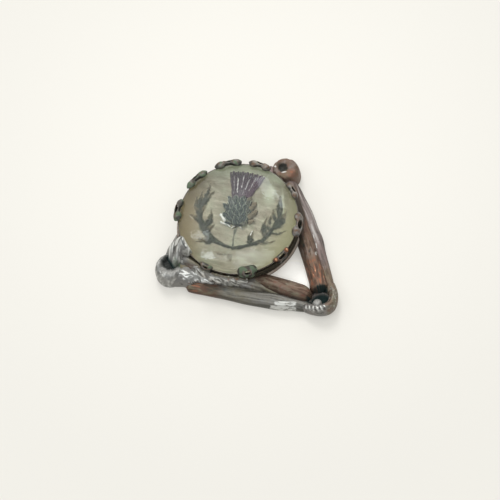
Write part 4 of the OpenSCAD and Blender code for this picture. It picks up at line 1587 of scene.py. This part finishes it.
def mirrored(right, up):
    """Point of the dome seen at offsets from the stone's middle, and the direction that it mirrors."""
    axes = view_axes()
    start = Vector((*CUP, GIRDLE_Z)) + right * axes[0] + up * axes[1]
    back = (eye() - start).normalized()
    middle = Vector((*CUP, DOME_TOP_Z - DOME_R))
    out = start - middle
    along = out.dot(back)
    point = start + (math.sqrt(along**2 - out.length_squared + DOME_R**2) - along) * back
    normal = (point - middle).normalized()
    return point * MM, 2 * normal.dot(back) * normal - back


def area_light(name, size, power, turn, place, colour=(1, 1, 1)):
    """A rectangular lamp that shines back along its own Z axis."""
    data = bpy.data.lights.new(name, "AREA")
    data.shape = "RECTANGLE"
    data.size, data.size_y = size
    data.energy = power
    data.color = colour
    lamp = bpy.data.objects.new(name, data)
    lamp.matrix_world = Matrix.Translation(place) @ turn.to_4x4()
    bpy.context.scene.collection.objects.link(lamp)
    return lamp


def panel(name, place, patch, bright):
    """A lamp whose mirror image in the dome fills a patch that the camera sees."""
    x, y = place
    half_x, half_y = patch[0] / 2, patch[1] / 2
    point, away = mirrored(x, y)
    right = mirrored(x + half_x, y)[1] - mirrored(x - half_x, y)[1]
    up = mirrored(x, y + half_y)[1] - mirrored(x, y - half_y)[1]
    size = [right.length * PANEL_DISTANCE, up.length * PANEL_DISTANCE]
    across = (right - right.dot(away) * away).normalized()
    turn = Matrix((across, away.cross(across), away)).transposed()
    power = bright * math.pi * size[0] * size[1]
    return area_light(name, size, power, turn, point + away * PANEL_DISTANCE, PANEL_TINT)


class BROOCH_OT_stage(bpy.types.Operator):
    """Lay the floor, hang the lamps and set up the camera"""

    bl_idname = "brooch.stage"
    bl_label = "Stage"

    def execute(self, context):
        scene = context.scene
        self.floor()
        self.sky(scene)
        self.camera(scene)
        for row in PANELS:
            panel(*row)
        scene.view_settings.view_transform = "Standard"
        return {"FINISHED"}

    def floor(self):
        material, wire = new_finish("pale floor")
        # Painted light: the floor is lighter round the bright spot and in the frame's gap, and its glow lifts
        # the shadows
        tone = wire.away(BRIGHT_AT).between(*BRIGHT_FADE).mix(FLOOR_NEAR, FLOOR_FAR)
        drive(
            material,
            Base_Color=wire.away(GAP_AT).between(*GAP_FADE).mix(FLOOR_GAP_LIT, tone),
            Emission_Color=full(FLOOR_FILL_GLOW),
            Emission_Strength=FLOOR_FILL_GLOW_STRENGTH,
            Roughness=0.9,
            Specular_IOR_Level=0.1)
        bpy.ops.mesh.primitive_grid_add(
            x_subdivisions=8, y_subdivisions=8, size=FLOOR_SIZE, location=(0, 0, -FLOOR_DROP))
        made = bpy.context.object
        made.name = "floor"
        made.data.materials.append(material)

    def sky(self, scene):
        world = bpy.data.worlds.new("studio")
        scene.world = world
        world.use_nodes = True
        tree = world.node_tree
        wire = Wire(tree)
        towards = wire.node("ShaderNodeTexCoord", {}, {}, "Generated")
        height = wire.node("ShaderNodeSeparateXYZ", {}, {0: towards}, "Z")
        room = wire.node("ShaderNodeValToRGB", {"stops": ROOM}, {0: height}, "Color")
        flat = math.cos(KEY_RISE)
        key = Vector((math.cos(KEY_PLAN) * flat, math.sin(KEY_PLAN) * flat, math.sin(KEY_RISE)))
        facing = wire.node(
            "ShaderNodeVectorMath", {"operation": "DOT_PRODUCT"}, {0: towards, 1: key}, "Value")
        light = facing.between(0.2, 1.0).mix(room, ROOM_BRIGHT)
        background = tree.nodes["Background"]
        tree.links.new(light.socket, background.inputs["Color"])
        background.inputs["Strength"].default_value = ROOM_STRENGTH
        turn = key.to_track_quat("Z", "Y").to_matrix()
        lamp = area_light("key", (KEY_SIZE, KEY_SIZE), KEY_POWER, turn, key * KEY_DISTANCE)
        lamp.visible_glossy = False

    def camera(self, scene):
        right, up, back = view_axes()
        data = bpy.data.cameras.new("camera")
        data.lens = LENS
        data.sensor_width = SENSOR
        data.clip_start = 0.01
        view = bpy.data.objects.new("camera", data)
        view.matrix_world = Matrix.Translation(eye() * MM) @ Matrix((right, up, back)).transposed().to_4x4()
        scene.collection.objects.link(view)
        scene.camera = view


OPERATORS = (
    BROOCH_OT_horns,
    BROOCH_OT_gallery,
    BROOCH_OT_cabochon,
    BROOCH_OT_thistle,
    BROOCH_OT_pin,
    BROOCH_OT_stage,
)


class VIEW3D_PT_brooch(bpy.types.Panel):
    """Thistle brooch"""

    bl_idname = "VIEW3D_PT_brooch"
    bl_label = "Thistle Brooch"
    bl_space_type = "VIEW_3D"
    bl_region_type = "UI"
    bl_category = "Brooch"

    def draw(self, context):
        for kind in OPERATORS:
            self.layout.operator(kind.bl_idname)
        for group in tools(context):
            for name in group.bl_rna.properties.keys():
                if name not in ("rna_type", "name"):
                    self.layout.prop(group, name)


CLASSES = (BroochSizes, BroochColours, *OPERATORS, VIEW3D_PT_brooch)


def register():
    for kind in CLASSES:
        bpy.utils.register_class(kind)
    bpy.types.Scene.brooch_sizes = PointerProperty(type=BroochSizes)
    bpy.types.Scene.brooch_colours = PointerProperty(type=BroochColours)


def unregister():
    del bpy.types.Scene.brooch_colours
    del bpy.types.Scene.brooch_sizes
    for kind in reversed(CLASSES):
        bpy.utils.unregister_class(kind)


def main():
    """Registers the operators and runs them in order."""
    register()
    for kind in OPERATORS:
        group, name = kind.bl_idname.split(".")
        getattr(getattr(bpy.ops, group), name)()


if __name__ == "__main__":
    main()
